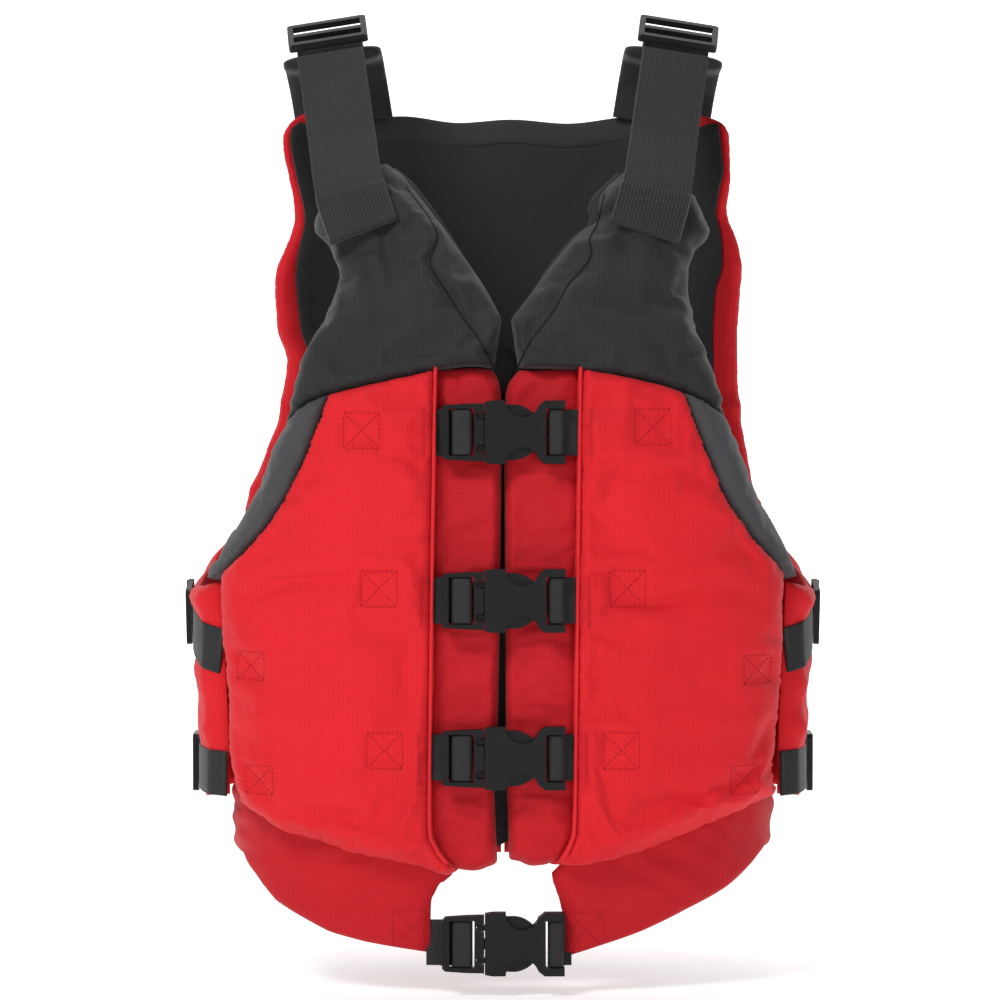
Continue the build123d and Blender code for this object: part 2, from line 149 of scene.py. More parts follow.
# ---------------------------------------------------------------------------------------------
# Outlines seen from the front, one set for each side of the wearer; x is always positive.
LEFT = {
    "centre": [(4.4, 307), (8.5, 278), (1.0, 260), (0.9, 180), (1.4, 90), (1.6, 60), (3.3, 6.6)],
    "placket_hem": [(3.3, 6.6), (9, 6.2), (15, 3.3), (26, 4.4)],
    "hem": [(26, 4.4), (46, 4.4), (72, 9.4), (88, 14.3), (114, 23.7), (130, 29.7), (157, 39)],
    "side": [(157, 39), (154, 52), (155, 76), (157.5, 107), (158.5, 134), (159, 166)],
    "armhole": [(174, 160), (161, 180), (146, 204), (137, 225), (131, 240), (126, 250)],
    "shoulder": [(126, 250), (121, 268), (116, 283), (110.5, 297), (106.5, 314), (105, 326)],
    "notch": [(105, 326), (106, 337), (110, 347), (118, 356), (114, 370), (109, 380)],
    "top": [(109, 380), (92, 388), (73, 395)],
    "neck": [(73, 395), (57, 380), (54.5, 370), (57, 366), (42, 354), (28, 338), (15.6, 321), (4.4, 307)],
    "yoke_seam": [(8.5, 278.5), (39, 277.8), (70, 274), (86, 270.6), (101, 266)],
    "yoke_band": [(101, 266), (112, 261), (121, 255), (126, 250)],
    "band_seam": [(101, 266), (106, 252), (116, 227), (127, 204), (142, 183.5), (154, 171.5), (164, 163)],
    "piping": [(43, 279), (41.6, 180), (40.5, 90), (39.6, 30), (37.5, 18), (32.5, 9.4), (26, 4.4)],
}
RIGHT = {
    "centre": [(0.6, 307), (5.0, 278), (0.8, 260), (1.2, 180), (2.6, 90), (5, 60), (3.0, 5)],
    "placket_hem": [(3.0, 5), (9, 2.5), (16, 0.6), (25, 1.5)],
    "hem": [(25, 1.5), (32, -1.5), (46, 3), (62, 6), (83, 9.6), (104, 16), (126, 22), (148, 35)],
    "side": [(148, 35), (152, 48), (155, 65), (155.5, 86), (157, 114), (159, 137), (159, 166)],
    "armhole": [(176, 159), (159, 180), (142, 204.5), (133, 225.5), (128, 237), (122, 248)],
    "shoulder": [(122, 248), (116, 273), (109, 291), (101.5, 306), (95.5, 321), (92, 331)],
    "notch": [(92, 331), (95, 340), (99, 349), (107, 357), (107, 366), (103, 374)],
    "top": [(103, 374), (86, 388), (68, 398)],
    "neck": [(68, 398), (58, 390), (48, 378), (36, 362), (22, 342), (11, 326), (0.6, 307)],
    "yoke_seam": [(5, 278), (16, 279.5), (31, 278.5), (47, 276), (71, 271), (97, 265)],
    "yoke_band": [(97, 265), (108, 260.5), (117, 254), (122, 248)],
    "band_seam": [(97, 265), (102, 252), (112, 227), (123.5, 204), (139.5, 183.5), (152, 171.5), (163, 162)],
    "piping": [(37.5, 279), (39, 180), (40, 100), (40.7, 30), (38, 17), (32, 8), (25, 1.5)],
}
# The neck's facing seam. Folds are (route, width, rise), and boxes are the (x, z, width) of squares
# where webbing is sewn down.
LEFT["facing"] = [(57.5, 379), (53, 361), (48.5, 352), (49, 342), (43, 333), (36, 325)]
LEFT["facing"] += [(29, 312), (22, 302), (15, 293), (8.5, 280)]
RIGHT["facing"] = [(55, 383), (46.7, 372), (40.7, 363), (37, 355), (38.2, 347), (40.5, 339)]
RIGHT["facing"] += [(38.5, 332.5), (30.5, 320), (22.5, 307), (15, 297), (9.4, 287), (5, 278.5)]
LEFT["folds"] = [
    ([(60, 374), (66, 350), (62, 330)], 5, -1.6),
    ([(38, 338), (48, 356), (52, 372)], 4, 2.0),
    ([(28, 322), (40, 340), (46, 350)], 3, -1.4),
    ([(118, 356), (104, 347), (92, 345)], 4, -2.2),
    ([(112, 330), (100, 322), (90, 306)], 5, -1.6),
    ([(116, 300), (100, 300), (84, 292)], 6, 1.4),
    ([(72, 372), (78, 344), (74, 312)], 8, 1.6),
    ([(12, 316), (20, 306), (14, 290)], 4, -1.5),
]
RIGHT["folds"] = [
    ([(107, 357), (96, 346), (84, 342)], 4, -2.4),
    ([(95, 330), (88, 322), (86, 306)], 5, -2.0),
    ([(92, 322), (80, 318), (70, 300)], 6, 1.8),
    ([(60, 380), (58, 356), (50, 336)], 5, 1.6),
    ([(66, 372), (66, 346), (58, 320)], 4, -1.4),
    ([(34, 352), (28, 334), (18, 316)], 4, 1.4),
    ([(26, 342), (18, 320), (10, 300)], 3, -1.6),
    ([(112, 292), (98, 290), (80, 282)], 6, -1.3),
]
LEFT["chest_folds"] = [
    ([(150, 150), (120, 156), (84, 150), (58, 153)], 7, -1.3),
    ([(154, 92), (128, 84), (98, 86)], 8, 1.4),
    ([(150, 60), (118, 46), (88, 40), (60, 24)], 7, -1.5),
    ([(60, 22), (52, 42), (50, 58)], 5, 1.2),
    ([(140, 190), (118, 200), (98, 214)], 8, 1.2),
    ([(50, 262), (52, 226), (49, 196)], 6, 1.2),
    ([(50, 128), (54, 108), (50, 84)], 5, -1.0),
]
RIGHT["chest_folds"] = [
    ([(150, 140), (118, 160), (84, 160), (56, 154)], 7, -1.4),
    ([(152, 84), (122, 88), (90, 80)], 9, 1.2),
    ([(146, 48), (116, 34), (84, 32), (56, 20)], 7, -1.5),
    ([(58, 22), (50, 40), (52, 56)], 5, 1.2),
    ([(136, 196), (112, 204), (92, 220)], 8, 1.3),
    ([(48, 264), (53, 232), (49, 200)], 6, 1.2),
    ([(49, 132), (54, 110), (50, 86)], 5, -1.0),
]
LEFT["boxes"] = [(82, 246, 20), (68, 157.5, 20), (64.5, 69, 20), (141, 112, 16), (134, 51, 16)]
RIGHT["boxes"] = [(77.5, 244, 20), (68, 157.5, 20), (65, 69, 20), (140, 114, 16), (135, 51, 16)]
SIDES = {"left": (1, LEFT), "right": (-1, RIGHT)}


def smooth(points, step):
    """Evenly spaced points along a smooth curve through the given ones."""
    p = np.array(points, float)
    if len(p) > 2:
        ends = np.vstack([2 * p[0] - p[1], p, 2 * p[-1] - p[-2]])
        rows = []
        for a, b, c, d in zip(ends, ends[1:], ends[2:], ends[3:]):
            for t in np.linspace(0, 1, 12, endpoint=False):
                square, cube = 2 * a - 5 * b + 4 * c - d, 3 * b - a - 3 * c + d
                rows.append(0.5 * (2 * b + (c - a) * t + square * t**2 + cube * t**3))
        p = np.vstack([rows, p[-1:]])
    return evenly(p, step)


def distances(points):
    """How far along a polyline each of its points is."""
    return np.concatenate([[0], np.cumsum(np.linalg.norm(np.diff(points, axis=0), axis=1))])


def evenly(points, step):
    """The same polyline with its points a step apart."""
    p = np.array(points, float)
    run = distances(p)
    at = np.linspace(0, run[-1], max(2, int(round(run[-1] / step)) + 1))
    return np.stack([np.interp(at, run, p[:, k]) for k in range(p.shape[1])], -1)


def chain(curves, step):
    """Several smooth curves joined end to end; the last point closes onto the first."""
    parts = [smooth(c, step)[:-1] for c in curves]
    return np.vstack(parts)


def inside(points, loop):
    """Whether each point is inside a closed outline."""
    x, y = points[:, 0], points[:, 1]
    found = np.zeros(len(points), bool)
    for (x0, y0), (x1, y1) in zip(loop, np.roll(loop, -1, axis=0)):
        crosses = (y0 > y) != (y1 > y)
        with np.errstate(divide="ignore", invalid="ignore"):
            at = x0 + (y - y0) * (x1 - x0) / (y1 - y0)
        found ^= crosses & (x < at)
    return found


def nearest(points, line):
    """Distance from each point to a polyline, and how far along the polyline that is."""
    best, along = np.full(len(points), 1e9), np.zeros(len(points))
    run = 0.0
    for a, b in zip(line, line[1:]):
        d = b - a
        length = float(np.hypot(*d)) or 1e-9
        t = np.clip(((points - a) @ d) / length**2, 0, 1)
        gap = np.linalg.norm(points - (a + t[:, None] * d), axis=1)
        closer = gap < best
        best[closer], along[closer] = gap[closer], run + t[closer] * length
        run += length
    return best, along


def ripple(points, scale, seed=0.0):
    """Smooth noise, about -1 to 1, at each point."""
    p = np.atleast_2d(points)
    p = np.hstack([p, np.zeros((len(p), 3 - p.shape[1]))]) if p.shape[1] < 3 else p
    shift = np.array((seed, -seed, 3.1 * seed))
    return np.array([noise.noise(Vector(q / scale + shift)) for q in p])


def make(name, points, faces, material):
    """A smoothly shaded mesh object, from points in millimetres."""
    mesh = bpy.data.meshes.new(name)
    corners = [tuple(p) for p in np.asarray(points) * MM]
    mesh.from_pydata(corners, [], [tuple(int(i) for i in f) for f in faces])
    mesh.validate()
    mesh.update()
    mesh.polygons.foreach_set("use_smooth", [True] * len(mesh.polygons))
    obj = bpy.data.objects.new(name, mesh)
    bpy.context.scene.collection.objects.link(obj)
    mesh.materials.append(material)
    return obj


def outwards(obj):
    """Turns the faces of a closed mesh outwards."""
    bpy.context.view_layer.objects.active = obj
    for other in bpy.context.selected_objects:
        other.select_set(False)
    obj.select_set(True)
    bpy.ops.object.mode_set(mode="EDIT")
    bpy.ops.mesh.select_all(action="SELECT")
    bpy.ops.mesh.normals_make_consistent(inside=False)
    bpy.ops.object.mode_set(mode="OBJECT")
    return obj


def triangles(loop, step):
    """Fills a closed outline with even triangles: points, of which the first are the loop's, and faces."""
    low, high = loop.min(0), loop.max(0)
    rows = np.arange(low[1], high[1], step * 0.87)
    grid = [
        (x, z)
        for k, z in enumerate(rows)
        for x in np.arange(low[0] + (k % 2) * step / 2, high[0], step)
    ]
    grid = np.array(grid)
    grid = grid[inside(grid, loop)]
    gap, _ = nearest(grid, np.vstack([loop, loop[:1]]))
    grid = grid[gap > step * 0.6]
    points = np.vstack([loop, grid])
    found = geometry.delaunay_2d_cdt([Vector(p) for p in points], [], [list(range(len(loop)))], 1, 1e-6)
    return np.array([tuple(v) for v in found[0]]), [list(f) for f in found[2]]


def two_sided(faces, ring, n):
    """Faces of a closed piece: the ones given, the same on the n points beneath, and a rim along the
    ring."""
    under = [[n + i for i in reversed(f)] for f in faces]
    rim = [[a, b, n + b, n + a] for a, b in zip(ring, ring[1:] + ring[:1])]
    return faces + under + rim


def grid_faces(rows, columns):
    """The faces of a grid of points that runs column by column, and the points round its rim."""
    faces = [
        [i * rows + j, (i + 1) * rows + j, (i + 1) * rows + j + 1, i * rows + j + 1]
        for i in range(columns - 1)
        for j in range(rows - 1)
    ]
    ring = [i * rows for i in range(columns)]
    ring += [(columns - 1) * rows + j for j in range(1, rows)]
    ring += [i * rows + rows - 1 for i in range(columns - 2, -1, -1)]
    ring += list(range(rows - 2, 0, -1))
    return faces, ring


def slab(name, place, loop, step, heights, material, sign=1):
    """A closed soft piece over an outline. Heights gives, at each (x, z), the offsets of its outer and
    inner faces from the torso and the offset it is seen at."""
    flat, faces = triangles(loop, step)
    n, m = len(flat), len(loop)
    outer, inner, seen = heights(flat)
    x, z = flat[:, 0] * sign, flat[:, 1]
    points = np.vstack([place(x, z, outer, seen), place(x, z, inner, seen)])
    obj = outwards(make(name, points, two_sided(faces, list(range(m)), n), material))
    return obj, n, m


def pinned(obj, weights):
    """A vertex group that holds each point by its weight."""
    group = obj.vertex_groups.new(name="pin")
    for i, w in enumerate(weights):
        if w > 0.001:
            group.add([i], float(w), "REPLACE")
    return "pin"


def puff(obj, pin, pressure, shrink, frames, stiffness, cap):
    """Inflates a piece a little as cloth, so it puckers between its pinned seams, and keeps the result."""
    rest = np.array([v.co for v in obj.data.vertices])
    cloth = obj.modifiers.new("cloth", "CLOTH")
    s = cloth.settings
    s.quality, s.mass = 5, 0.15
    s.tension_stiffness = s.compression_stiffness = stiffness
    s.shear_stiffness, s.bending_stiffness = stiffness / 2, 0.15
    s.use_pressure, s.uniform_pressure_force = True, pressure
    s.shrink_min = shrink
    s.vertex_group_mass = pin
    s.effector_weights.gravity = 0
    cloth.point_cache.frame_start, cloth.point_cache.frame_end = 1, frames
    for f in range(1, frames + 1):
        bpy.context.scene.frame_set(f)
    moved = obj.evaluated_get(bpy.context.evaluated_depsgraph_get()).data
    new = np.array([v.co for v in moved.vertices])
    obj.modifiers.remove(cloth)
    step = new - rest
    length = np.linalg.norm(step, axis=1, keepdims=True)
    limit = cap * MM
    step *= np.where(length > limit, limit / np.maximum(length, 1e-9), 1)
    obj.data.vertices.foreach_set("co", (rest + step).astype(np.float32).ravel())
    obj.data.update()
    bpy.context.scene.frame_set(1)


# ---------------------------------------------------------------------------------------------
# Materials
def new_material(name):
    """A new material, its node tree and its surface shader."""
    m = bpy.data.materials.new(name)
    m.use_nodes = True
    tree = m.node_tree
    return m, tree, tree.nodes["Principled BSDF"]


def node(tree, kind, **values):
    """A new shader node; a value is an input where one has its name, else a property."""
    n = tree.nodes.new(kind)
    for key, value in values.items():
        if key in n.inputs:
            n.inputs[key].default_value = value
        else:
            setattr(n, key, value)
    return n


def math_node(tree, operation, a, b=None, c=None):
    """The output of a sum on numbers or other outputs."""
    n = tree.nodes.new("ShaderNodeMath")
    n.operation = operation
    for k, value in enumerate((a, b, c)):
        if value is None:
            continue
        if isinstance(value, (int, float)):
            n.inputs[k].default_value = value
        else:
            tree.links.new(value, n.inputs[k])
    return n.outputs[0]


def grid_lines(tree, position, normal, pitch, width):
    """1 on the lines of a square grid laid over the surface, whichever way it faces, else 0."""
    masks = []
    for axis in ("X", "Y", "Z"):
        wave = math_node(tree, "PINGPONG", math_node(tree, "ADD", position[axis], 1.0), pitch / 2)
        line = math_node(tree, "LESS_THAN", wave, width / 2)
        facing = math_node(tree, "LESS_THAN", math_node(tree, "ABSOLUTE", normal[axis]), 0.74)
        strength = 0.5 if axis == "Z" else 1.0
        masks.append(math_node(tree, "MULTIPLY", math_node(tree, "MULTIPLY", line, facing), strength))
    return math_node(tree, "MAXIMUM", math_node(tree, "MAXIMUM", masks[0], masks[1]), masks[2])


def noise_texture(tree, coords, **values):
    """The grey output of a noise that stays with the object."""
    texture = node(tree, "ShaderNodeTexNoise", **values)
    tree.links.new(coords.outputs["Object"], texture.inputs["Vector"])
    return texture.outputs["Fac"]


def remapped(tree, value, low, high):
    """The value from 0 to 1 spread from low to high."""
    spread = node(tree, "ShaderNodeMapRange")
    spread.inputs["To Min"].default_value, spread.inputs["To Max"].default_value = low, high
    tree.links.new(value, spread.inputs["Value"])
    return spread.outputs[0]


def shaded(tree, shader, shade):
    """A node whose colour, times the shade, is the surface's base colour."""
    toned = node(tree, "ShaderNodeVectorMath", operation="SCALE")
    tree.links.new(shade, toned.inputs["Scale"])
    tree.links.new(toned.outputs[0], shader.inputs["Base Color"])
    return toned.inputs[0]


def bumped(tree, height, strength, distance, before=None):
    """The normal of a surface raised by height, on top of the bumps before it."""
    bump = node(tree, "ShaderNodeBump", Strength=strength, Distance=distance)
    tree.links.new(height, bump.inputs["Height"])
    if before:
        tree.links.new(before, bump.inputs["Normal"])
    return bump.outputs[0]


def set_inputs(shader, values):
    for name, value in values.items():
        shader.inputs[name].default_value = value


GRID_PITCH, GRID_WIDTH, THREAD_PITCH = 2.7, 0.42, 0.9


def fabric(name, colour, line_colour, rough=0.72, grid=True, sheen=0.06):
    """Plain woven cloth; ripstop cloth has a grid of thicker threads as well."""
    m, tree, shader = new_material(name)
    coords = node(tree, "ShaderNodeTexCoord")
    position = node(tree, "ShaderNodeSeparateXYZ")
    tree.links.new(coords.outputs["Object"], position.inputs[0])
    # slow variation of the dye, finer fading and dust
    dye = remapped(tree, noise_texture(tree, coords, Scale=14.0, Detail=4.0, Roughness=0.6), 0.86, 1.12)
    dust = remapped(tree, noise_texture(tree, coords, Scale=900.0, Detail=2.0, Roughness=0.5), 0.9, 1.1)
    base = node(tree, "ShaderNodeMix", data_type="RGBA")
    base.inputs[0].default_value = 0.0
    base.inputs[6].default_value, base.inputs[7].default_value = (*colour, 1), (*line_colour, 1)
    tree.links.new(base.outputs[2], shaded(tree, shader, math_node(tree, "MULTIPLY", dye, dust)))
    # plain weave: threads over and under
    turns = 2 * math.pi / (THREAD_PITCH * MM)
    threads = []
    for axis in "XYZ":
        phase = math_node(tree, "MULTIPLY", position.outputs[axis], turns)
        threads.append(math_node(tree, "SINE", phase))
    woven = math_node(tree, "ADD", math_node(tree, "ADD", threads[0], threads[1]), threads[2])
    height = math_node(tree, "MULTIPLY", woven, 0.16)
    if grid:
        geo = node(tree, "ShaderNodeNewGeometry")
        normal = node(tree, "ShaderNodeSeparateXYZ")
        tree.links.new(geo.outputs["Normal"], normal.inputs[0])
        lines = grid_lines(tree, position.outputs, normal.outputs, GRID_PITCH * MM, GRID_WIDTH * MM)
        tree.links.new(lines, base.inputs[0])
        height = math_node(tree, "ADD", height, math_node(tree, "MULTIPLY", lines, 0.9))
    crumple = noise_texture(tree, coords, Scale=70.0, Detail=5.0, Roughness=0.62, Distortion=0.4)
    weave = bumped(tree, height, 0.12, 0.0004)
    tree.links.new(bumped(tree, crumple, 0.22, 0.003, weave), shader.inputs["Normal"])
    looks = {"Roughness": rough, "Specular IOR Level": 0.16, "Sheen Weight": sheen, "Sheen Roughness": 0.45}
    set_inputs(shader, looks)
    return m


def webbing_material(name, colour):
    """Matt woven tape."""
    m, tree, shader = new_material(name)
    coords = node(tree, "ShaderNodeTexCoord")
    grain = noise_texture(tree, coords, Scale=1400.0, Detail=3.0, Roughness=0.6)
    slow = noise_texture(tree, coords, Scale=40.0, Detail=3.0)
    fine_shade = math_node(tree, "MULTIPLY_ADD", grain, 0.9, 0.5)
    slow_shade = math_node(tree, "MULTIPLY_ADD", slow, 0.4, 0.8)
    shaded(tree, shader, math_node(tree, "MULTIPLY", fine_shade, slow_shade)).default_value = colour
    tree.links.new(bumped(tree, grain, 0.5, 0.0003), shader.inputs["Normal"])
    set_inputs(shader, {"Roughness": 0.6, "Sheen Weight": 0.08, "Specular IOR Level": 0.25})
    return m


def plastic_material(name, colour, rough=0.38):
    """Satin moulded plastic with faint scuffs."""
    m, tree, shader = new_material(name)
    coords = node(tree, "ShaderNodeTexCoord")
    grain = noise_texture(tree, coords, Scale=2200.0, Detail=3.0)
    scuffs = noise_texture(tree, coords, Scale=160.0, Detail=6.0, Roughness=0.7, Distortion=1.5)
    worn = math_node(tree, "MULTIPLY_ADD", scuffs, 0.22, rough - 0.1)
    tree.links.new(worn, shader.inputs["Roughness"])
    tree.links.new(bumped(tree, grain, 0.18, 0.0002), shader.inputs["Normal"])
    set_inputs(shader, {"Base Color": (*colour, 1), "Specular IOR Level": 0.2})
    return m


RED = fabric("red_ripstop", (0.66, 0.014, 0.022), (0.60, 0.0118, 0.019))
# A darker copy of the red ripstop: painted shade for the recessed placket and the receding waist wings.
SHADED_RED = fabric("shaded_red", (0.50, 0.0105, 0.017), (0.45, 0.009, 0.015))
CHARCOAL = fabric("charcoal_ripstop", (0.025, 0.025, 0.026), (0.018, 0.018, 0.019), sheen=0.12)
GREY = fabric("grey_fabric", (0.058, 0.059, 0.062), (0.1, 0.1, 0.1), grid=False, sheen=0.1)
LINING = fabric("lining_fabric", (0.026, 0.026, 0.027), (0.02, 0.02, 0.02), grid=False, sheen=0.08)
# A lighter copy of the lining: painted light on the band rolled over the back's top edge.
LIT_LINING = fabric("lit_lining_band", (0.032, 0.032, 0.034), (0.1, 0.1, 0.1), grid=False)
# A lighter copy of the red ripstop: painted highlight along the raised piping cord.
PIPING_HIGHLIGHT = fabric("piping_highlight_red", (0.70, 0.018, 0.026), (0.6, 0.01, 0.02), grid=False, rough=0.6)
THREAD_RED = fabric("thread_red", (0.46, 0.011, 0.018), (0.3, 0.01, 0.01), grid=False, rough=0.8)
THREAD_GREY = fabric("thread_grey", (0.045, 0.045, 0.047), (0.1, 0.1, 0.1), grid=False, rough=0.8)
# Near black: painted shade for the groove of a seam.
SEAM_SHADE = fabric("seam_groove_shade", (0.012, 0.012, 0.013), (0.01, 0.01, 0.01), grid=False, rough=0.9, sheen=0.0)
WEBBING = webbing_material("webbing_black", (0.0205, 0.0205, 0.021))
PLASTIC = plastic_material("buckle_black", (0.007, 0.007, 0.0072))


# ---------------------------------------------------------------------------------------------
# Padded panels
def edge_profile(gap, radius, least):
    """From the least share of the thickness at an edge to all of it beyond the radius, as a pillow."""
    t = np.clip(gap / radius, 0, 1)
    return least + (1 - least) * np.sqrt(1 - (1 - t) ** 2)


def padded_height(flat, edges, seams, seed, share=1.0, sign=1, folds=(), boxes=(), tunnels=()):
    """Outer offset from the torso over a foam-filled panel, rounded to its edges and puckered at its seams.
    Edges are (line, radius, least share) and seams are (line, depth)."""
    full = station(flat[:, 1], FOAM) * share
    height = np.ones(len(flat))
    pucker = np.zeros(len(flat))
    for k, (line, r, least) in enumerate(edges):
        gap, along = nearest(flat, line)
        height = np.minimum(height, edge_profile(gap, r, least))
        waves = ripple(np.stack([along * sign, gap * 0.25], -1), 9.0, seed + k)
        waves += 0.5 * ripple(np.stack([along, gap * 0.4], -1), 4.6, seed + 7 + k)
        pucker += waves * np.exp(-gap / 16.0) * np.clip(gap / 3.0, 0, 1) * 1.1
    for line, width, rise in folds:
        gap, along = nearest(flat, line)
        total = distances(line)[-1]
        fade = np.clip(np.minimum(along, total - along) / (0.3 * total), 0, 1)
        pucker += FOLD_DEPTH * rise * np.exp(-((gap / width) ** 2)) * fade
    for x, z, width, drop in boxes:
        gap = np.maximum(np.abs(flat[:, 0] - x), np.abs(flat[:, 1] - z)) / (width / 2)
        pucker -= drop * np.exp(-(gap**6))
        pucker += 0.8 * np.exp(-(((gap - 1.7) / 0.5) ** 2)) * (0.6 + ripple(flat, 12, seed + 60))
    for x0, x1, z in tunnels:
        span = np.clip((flat[:, 0] - x0) / 4, 0, 1) * np.clip((x1 - flat[:, 0]) / 4, 0, 1)
        pucker += 0.9 * span * np.clip((13.5 - np.abs(flat[:, 1] - z)) / 3, 0, 1)
    for k, (line, depth) in enumerate(seams):
        gap, along = nearest(flat, line)
        pucker -= depth * np.exp(-((gap / 3.2) ** 2))
        waves = ripple(np.stack([along * sign, gap * 0.3], -1), 8.0, seed + 20 + k)
        pucker += waves * np.exp(-gap / 13.0) * np.clip(gap / 3.0, 0, 1) * 0.9
    swell = 1.1 * ripple(flat, 46.0, seed + 3) + 0.45 * ripple(flat, 17.0, seed + 9)
    return full * height + pucker + swell * np.clip(height, 0, 1)


def line(points):
    """A seam or fold as a fine polyline."""
    return smooth(points, 2.5)


STEP = 3.4
EDGING_STEP = 0.8 * STEP
INNER = 1.5
# Heights of the middle of the buckles, which are the CAD's.
HEIGHTS = {"chest": 243.0, "middle": 151.0, "lower": 65.0, "waist": -39.0}
# Every piece by its key; a padded panel is (object, points on its outer face, points on its rim).
made = {}


def front_panels(side):
    """The chest panel, the yoke, the armhole's edging and the placket of one half."""
    sign, shape = SIDES[side]
    seed = 4.0 if sign > 0 else 11.0
    plain = {key: line(points) for key, points in shape.items() if not key.endswith(("folds", "boxes"))}
    folded = lambda key: [(line(points), width, rise) for points, width, rise in shape[key]]
    neck_to_seam = [shape["neck"][-1], shape["yoke_seam"][0]]
    yoke_outline = [shape[key] for key in ("yoke_seam", "yoke_band", "shoulder", "notch", "top", "neck")]
    yoke_outline.append(neck_to_seam)

    def panel(key, name, curves, edges, seams, seed, material, step=STEP, **more):
        def heights(flat):
            outer = padded_height(flat, edges, seams, seed, sign=sign, **more)
            return outer, np.full(len(flat), INNER), outer

        loop = chain(curves, step)
        made[f"{key}_{side}"] = slab(f"{name}_{side}", on_front, loop, step, heights, material, sign)

    band_top = [shape["side"][-1]] + shape["band_seam"][:-1][::-1]
    panel(
        "chest",
        "chest_panel",
        [shape["hem"], shape["side"], band_top, chest_seam(shape), shape["piping"]],
        [(plain["hem"], 17, 0.3), (plain["side"], 15, 0.66), (plain["piping"], 8, 0.86)],
        [(plain["band_seam"], 1.6), (plain["yoke_seam"], 2.2)],
        seed,
        RED,
        folds=folded("chest_folds"),
        boxes=[(x, z, w, 1.3) for x, z, w in shape["boxes"]],
        tunnels=[(44, x - 10, z) for (x, _, _), z in zip(shape["boxes"], (243, 153, 66))],
    )
    panel(
        "yoke",
        "yoke",
        yoke_outline,
        [
            (line(shape["shoulder"] + shape["notch"][1:]), 14, 0.3),
            (plain["top"], 12, 0.4),
            (plain["neck"], 14, 0.3),
            (line(neck_to_seam), 8, 0.4),
        ],
        [(plain["yoke_seam"], 2.2), (plain["yoke_band"], 1.4), (plain["facing"], 3.2)],
        seed + 30,
        CHARCOAL,
        folds=folded("folds"),
    )
    panel(
        "band",
        "arm_edging",
        [
            shape["band_seam"][::-1],
            shape["yoke_band"],
            shape["armhole"][::-1],
            [shape["armhole"][0], shape["band_seam"][-1]],
        ],
        [(plain["armhole"], 12, 0.35)],
        [(plain["band_seam"], 1.6), (plain["yoke_band"], 1.4)],
        seed + 50,
        GREY,
        EDGING_STEP,
    )
    panel(
        "placket",
        "placket",
        [shape["centre"][1:], shape["placket_hem"], shape["piping"][::-1], placket_top(shape)],
        [(plain["centre"], 7, 0.45), (plain["placket_hem"], 9, 0.35)],
        [(plain["piping"], 1.0), (plain["yoke_seam"], 1.0)],
        seed + 70,
        # painted shade: the placket is the same red as the chest panels, drawn darker
        SHADED_RED,
        share=PLACKET_SHARE,
    )


def chest_seam(shape):
    """The yoke seam from the armhole band back to the piping."""
    top = shape["piping"][0]
    return [p for p in shape["yoke_seam"][::-1] if p[0] > top[0] + 4] + [top]


def placket_top(shape):
    """The yoke seam from the piping to the front opening."""
    top, inner_end = shape["piping"][0], shape["yoke_seam"][0]
    between = [p for p in shape["yoke_seam"][::-1] if p[0] < top[0] - 4 and p != inner_end]
    return [top] + between + [shape["centre"][1]]


# ---------------------------------------------------------------------------------------------
# Swept pieces: webbing, piping, pads
def fillet(points, radius, steps=5):
    """A polyline with its corners rounded."""
    p = [np.array(q, float) for q in points]
    out = [p[0]]
    for a, b, c in zip(p, p[1:], p[2:]):
        u, v = a - b, c - b
        lu, lv = np.linalg.norm(u), np.linalg.norm(v)
        u, v = u / lu, v / lv
        turn = math.acos(float(np.clip(u @ v, -1, 1)))
        cut = min(radius / max(math.tan(turn / 2), 1e-3), lu * 0.49, lv * 0.49)
        for t in np.linspace(0, 1, steps):
            out.append((1 - t) ** 2 * (b + u * cut) + 2 * t * (1 - t) * b + t**2 * (b + v * cut))
    return np.array(out + [p[-1]])


def sweep(name, path, across, section, material, scale=None):
    """Carries a closed section along a path. A section point is (along across, along the normal)."""
    path = np.array(path, float)
    along = np.gradient(path, axis=0)
    along /= np.linalg.norm(along, axis=1, keepdims=True)
    across = np.broadcast_to(np.array(across, float), path.shape)
    across = across - (across * along).sum(1, keepdims=True) * along
    across /= np.linalg.norm(across, axis=1, keepdims=True)
    normal = np.cross(along, across)
    section = np.array(section, float)
    n, m = len(path), len(section)
    size = np.ones((n, 2)) if scale is None else np.array(scale, float)
    points = (
        path[:, None]
        + across[:, None] * (section[None, :, :1] * size[:, None, :1])
        + normal[:, None] * (section[None, :, 1:] * size[:, None, 1:])
    ).reshape(-1, 3)
    faces = [
        (i * m + j, i * m + (j + 1) % m, (i + 1) * m + (j + 1) % m, (i + 1) * m + j)
        for i in range(n - 1)
        for j in range(m)
    ]
    faces += [tuple(range(m))[::-1], tuple((n - 1) * m + j for j in range(m))]
    return outwards(make(name, points, faces, material))


def web_section(width, thick, ribs):
    """Webbing seen end-on: lengthwise ribs on both faces and rounded edges."""
    count = ribs * 4
    xs = np.linspace(-width / 2 + 0.35, width / 2 - 0.35, count + 1)
    rib = 0.3 * np.sqrt(np.abs(np.sin(np.linspace(0, math.pi * ribs, count + 1))))
    top = [(x, thick / 2 - 0.26 + r) for x, r in zip(xs, rib)]
    side = [(width / 2, 0.2), (width / 2, -0.2)]
    under = [(x, -y) for x, y in reversed(top)]
    return top + side + under + [(-width / 2, -0.2), (-width / 2, 0.2)]


def webbing(name, points, across, width, thick, step, radius, ribs):
    """Webbing along a route of straight runs with rounded corners."""
    path = evenly(fillet(points, radius), step)
    return sweep(name, path, across, web_section(width, thick, ribs), WEBBING)


def round_section(radius, count):
    """A circle seen end-on."""
    turn = np.linspace(0, 2 * math.pi, count, endpoint=False)
    return np.stack([radius * np.cos(turn), radius * np.sin(turn)], -1)


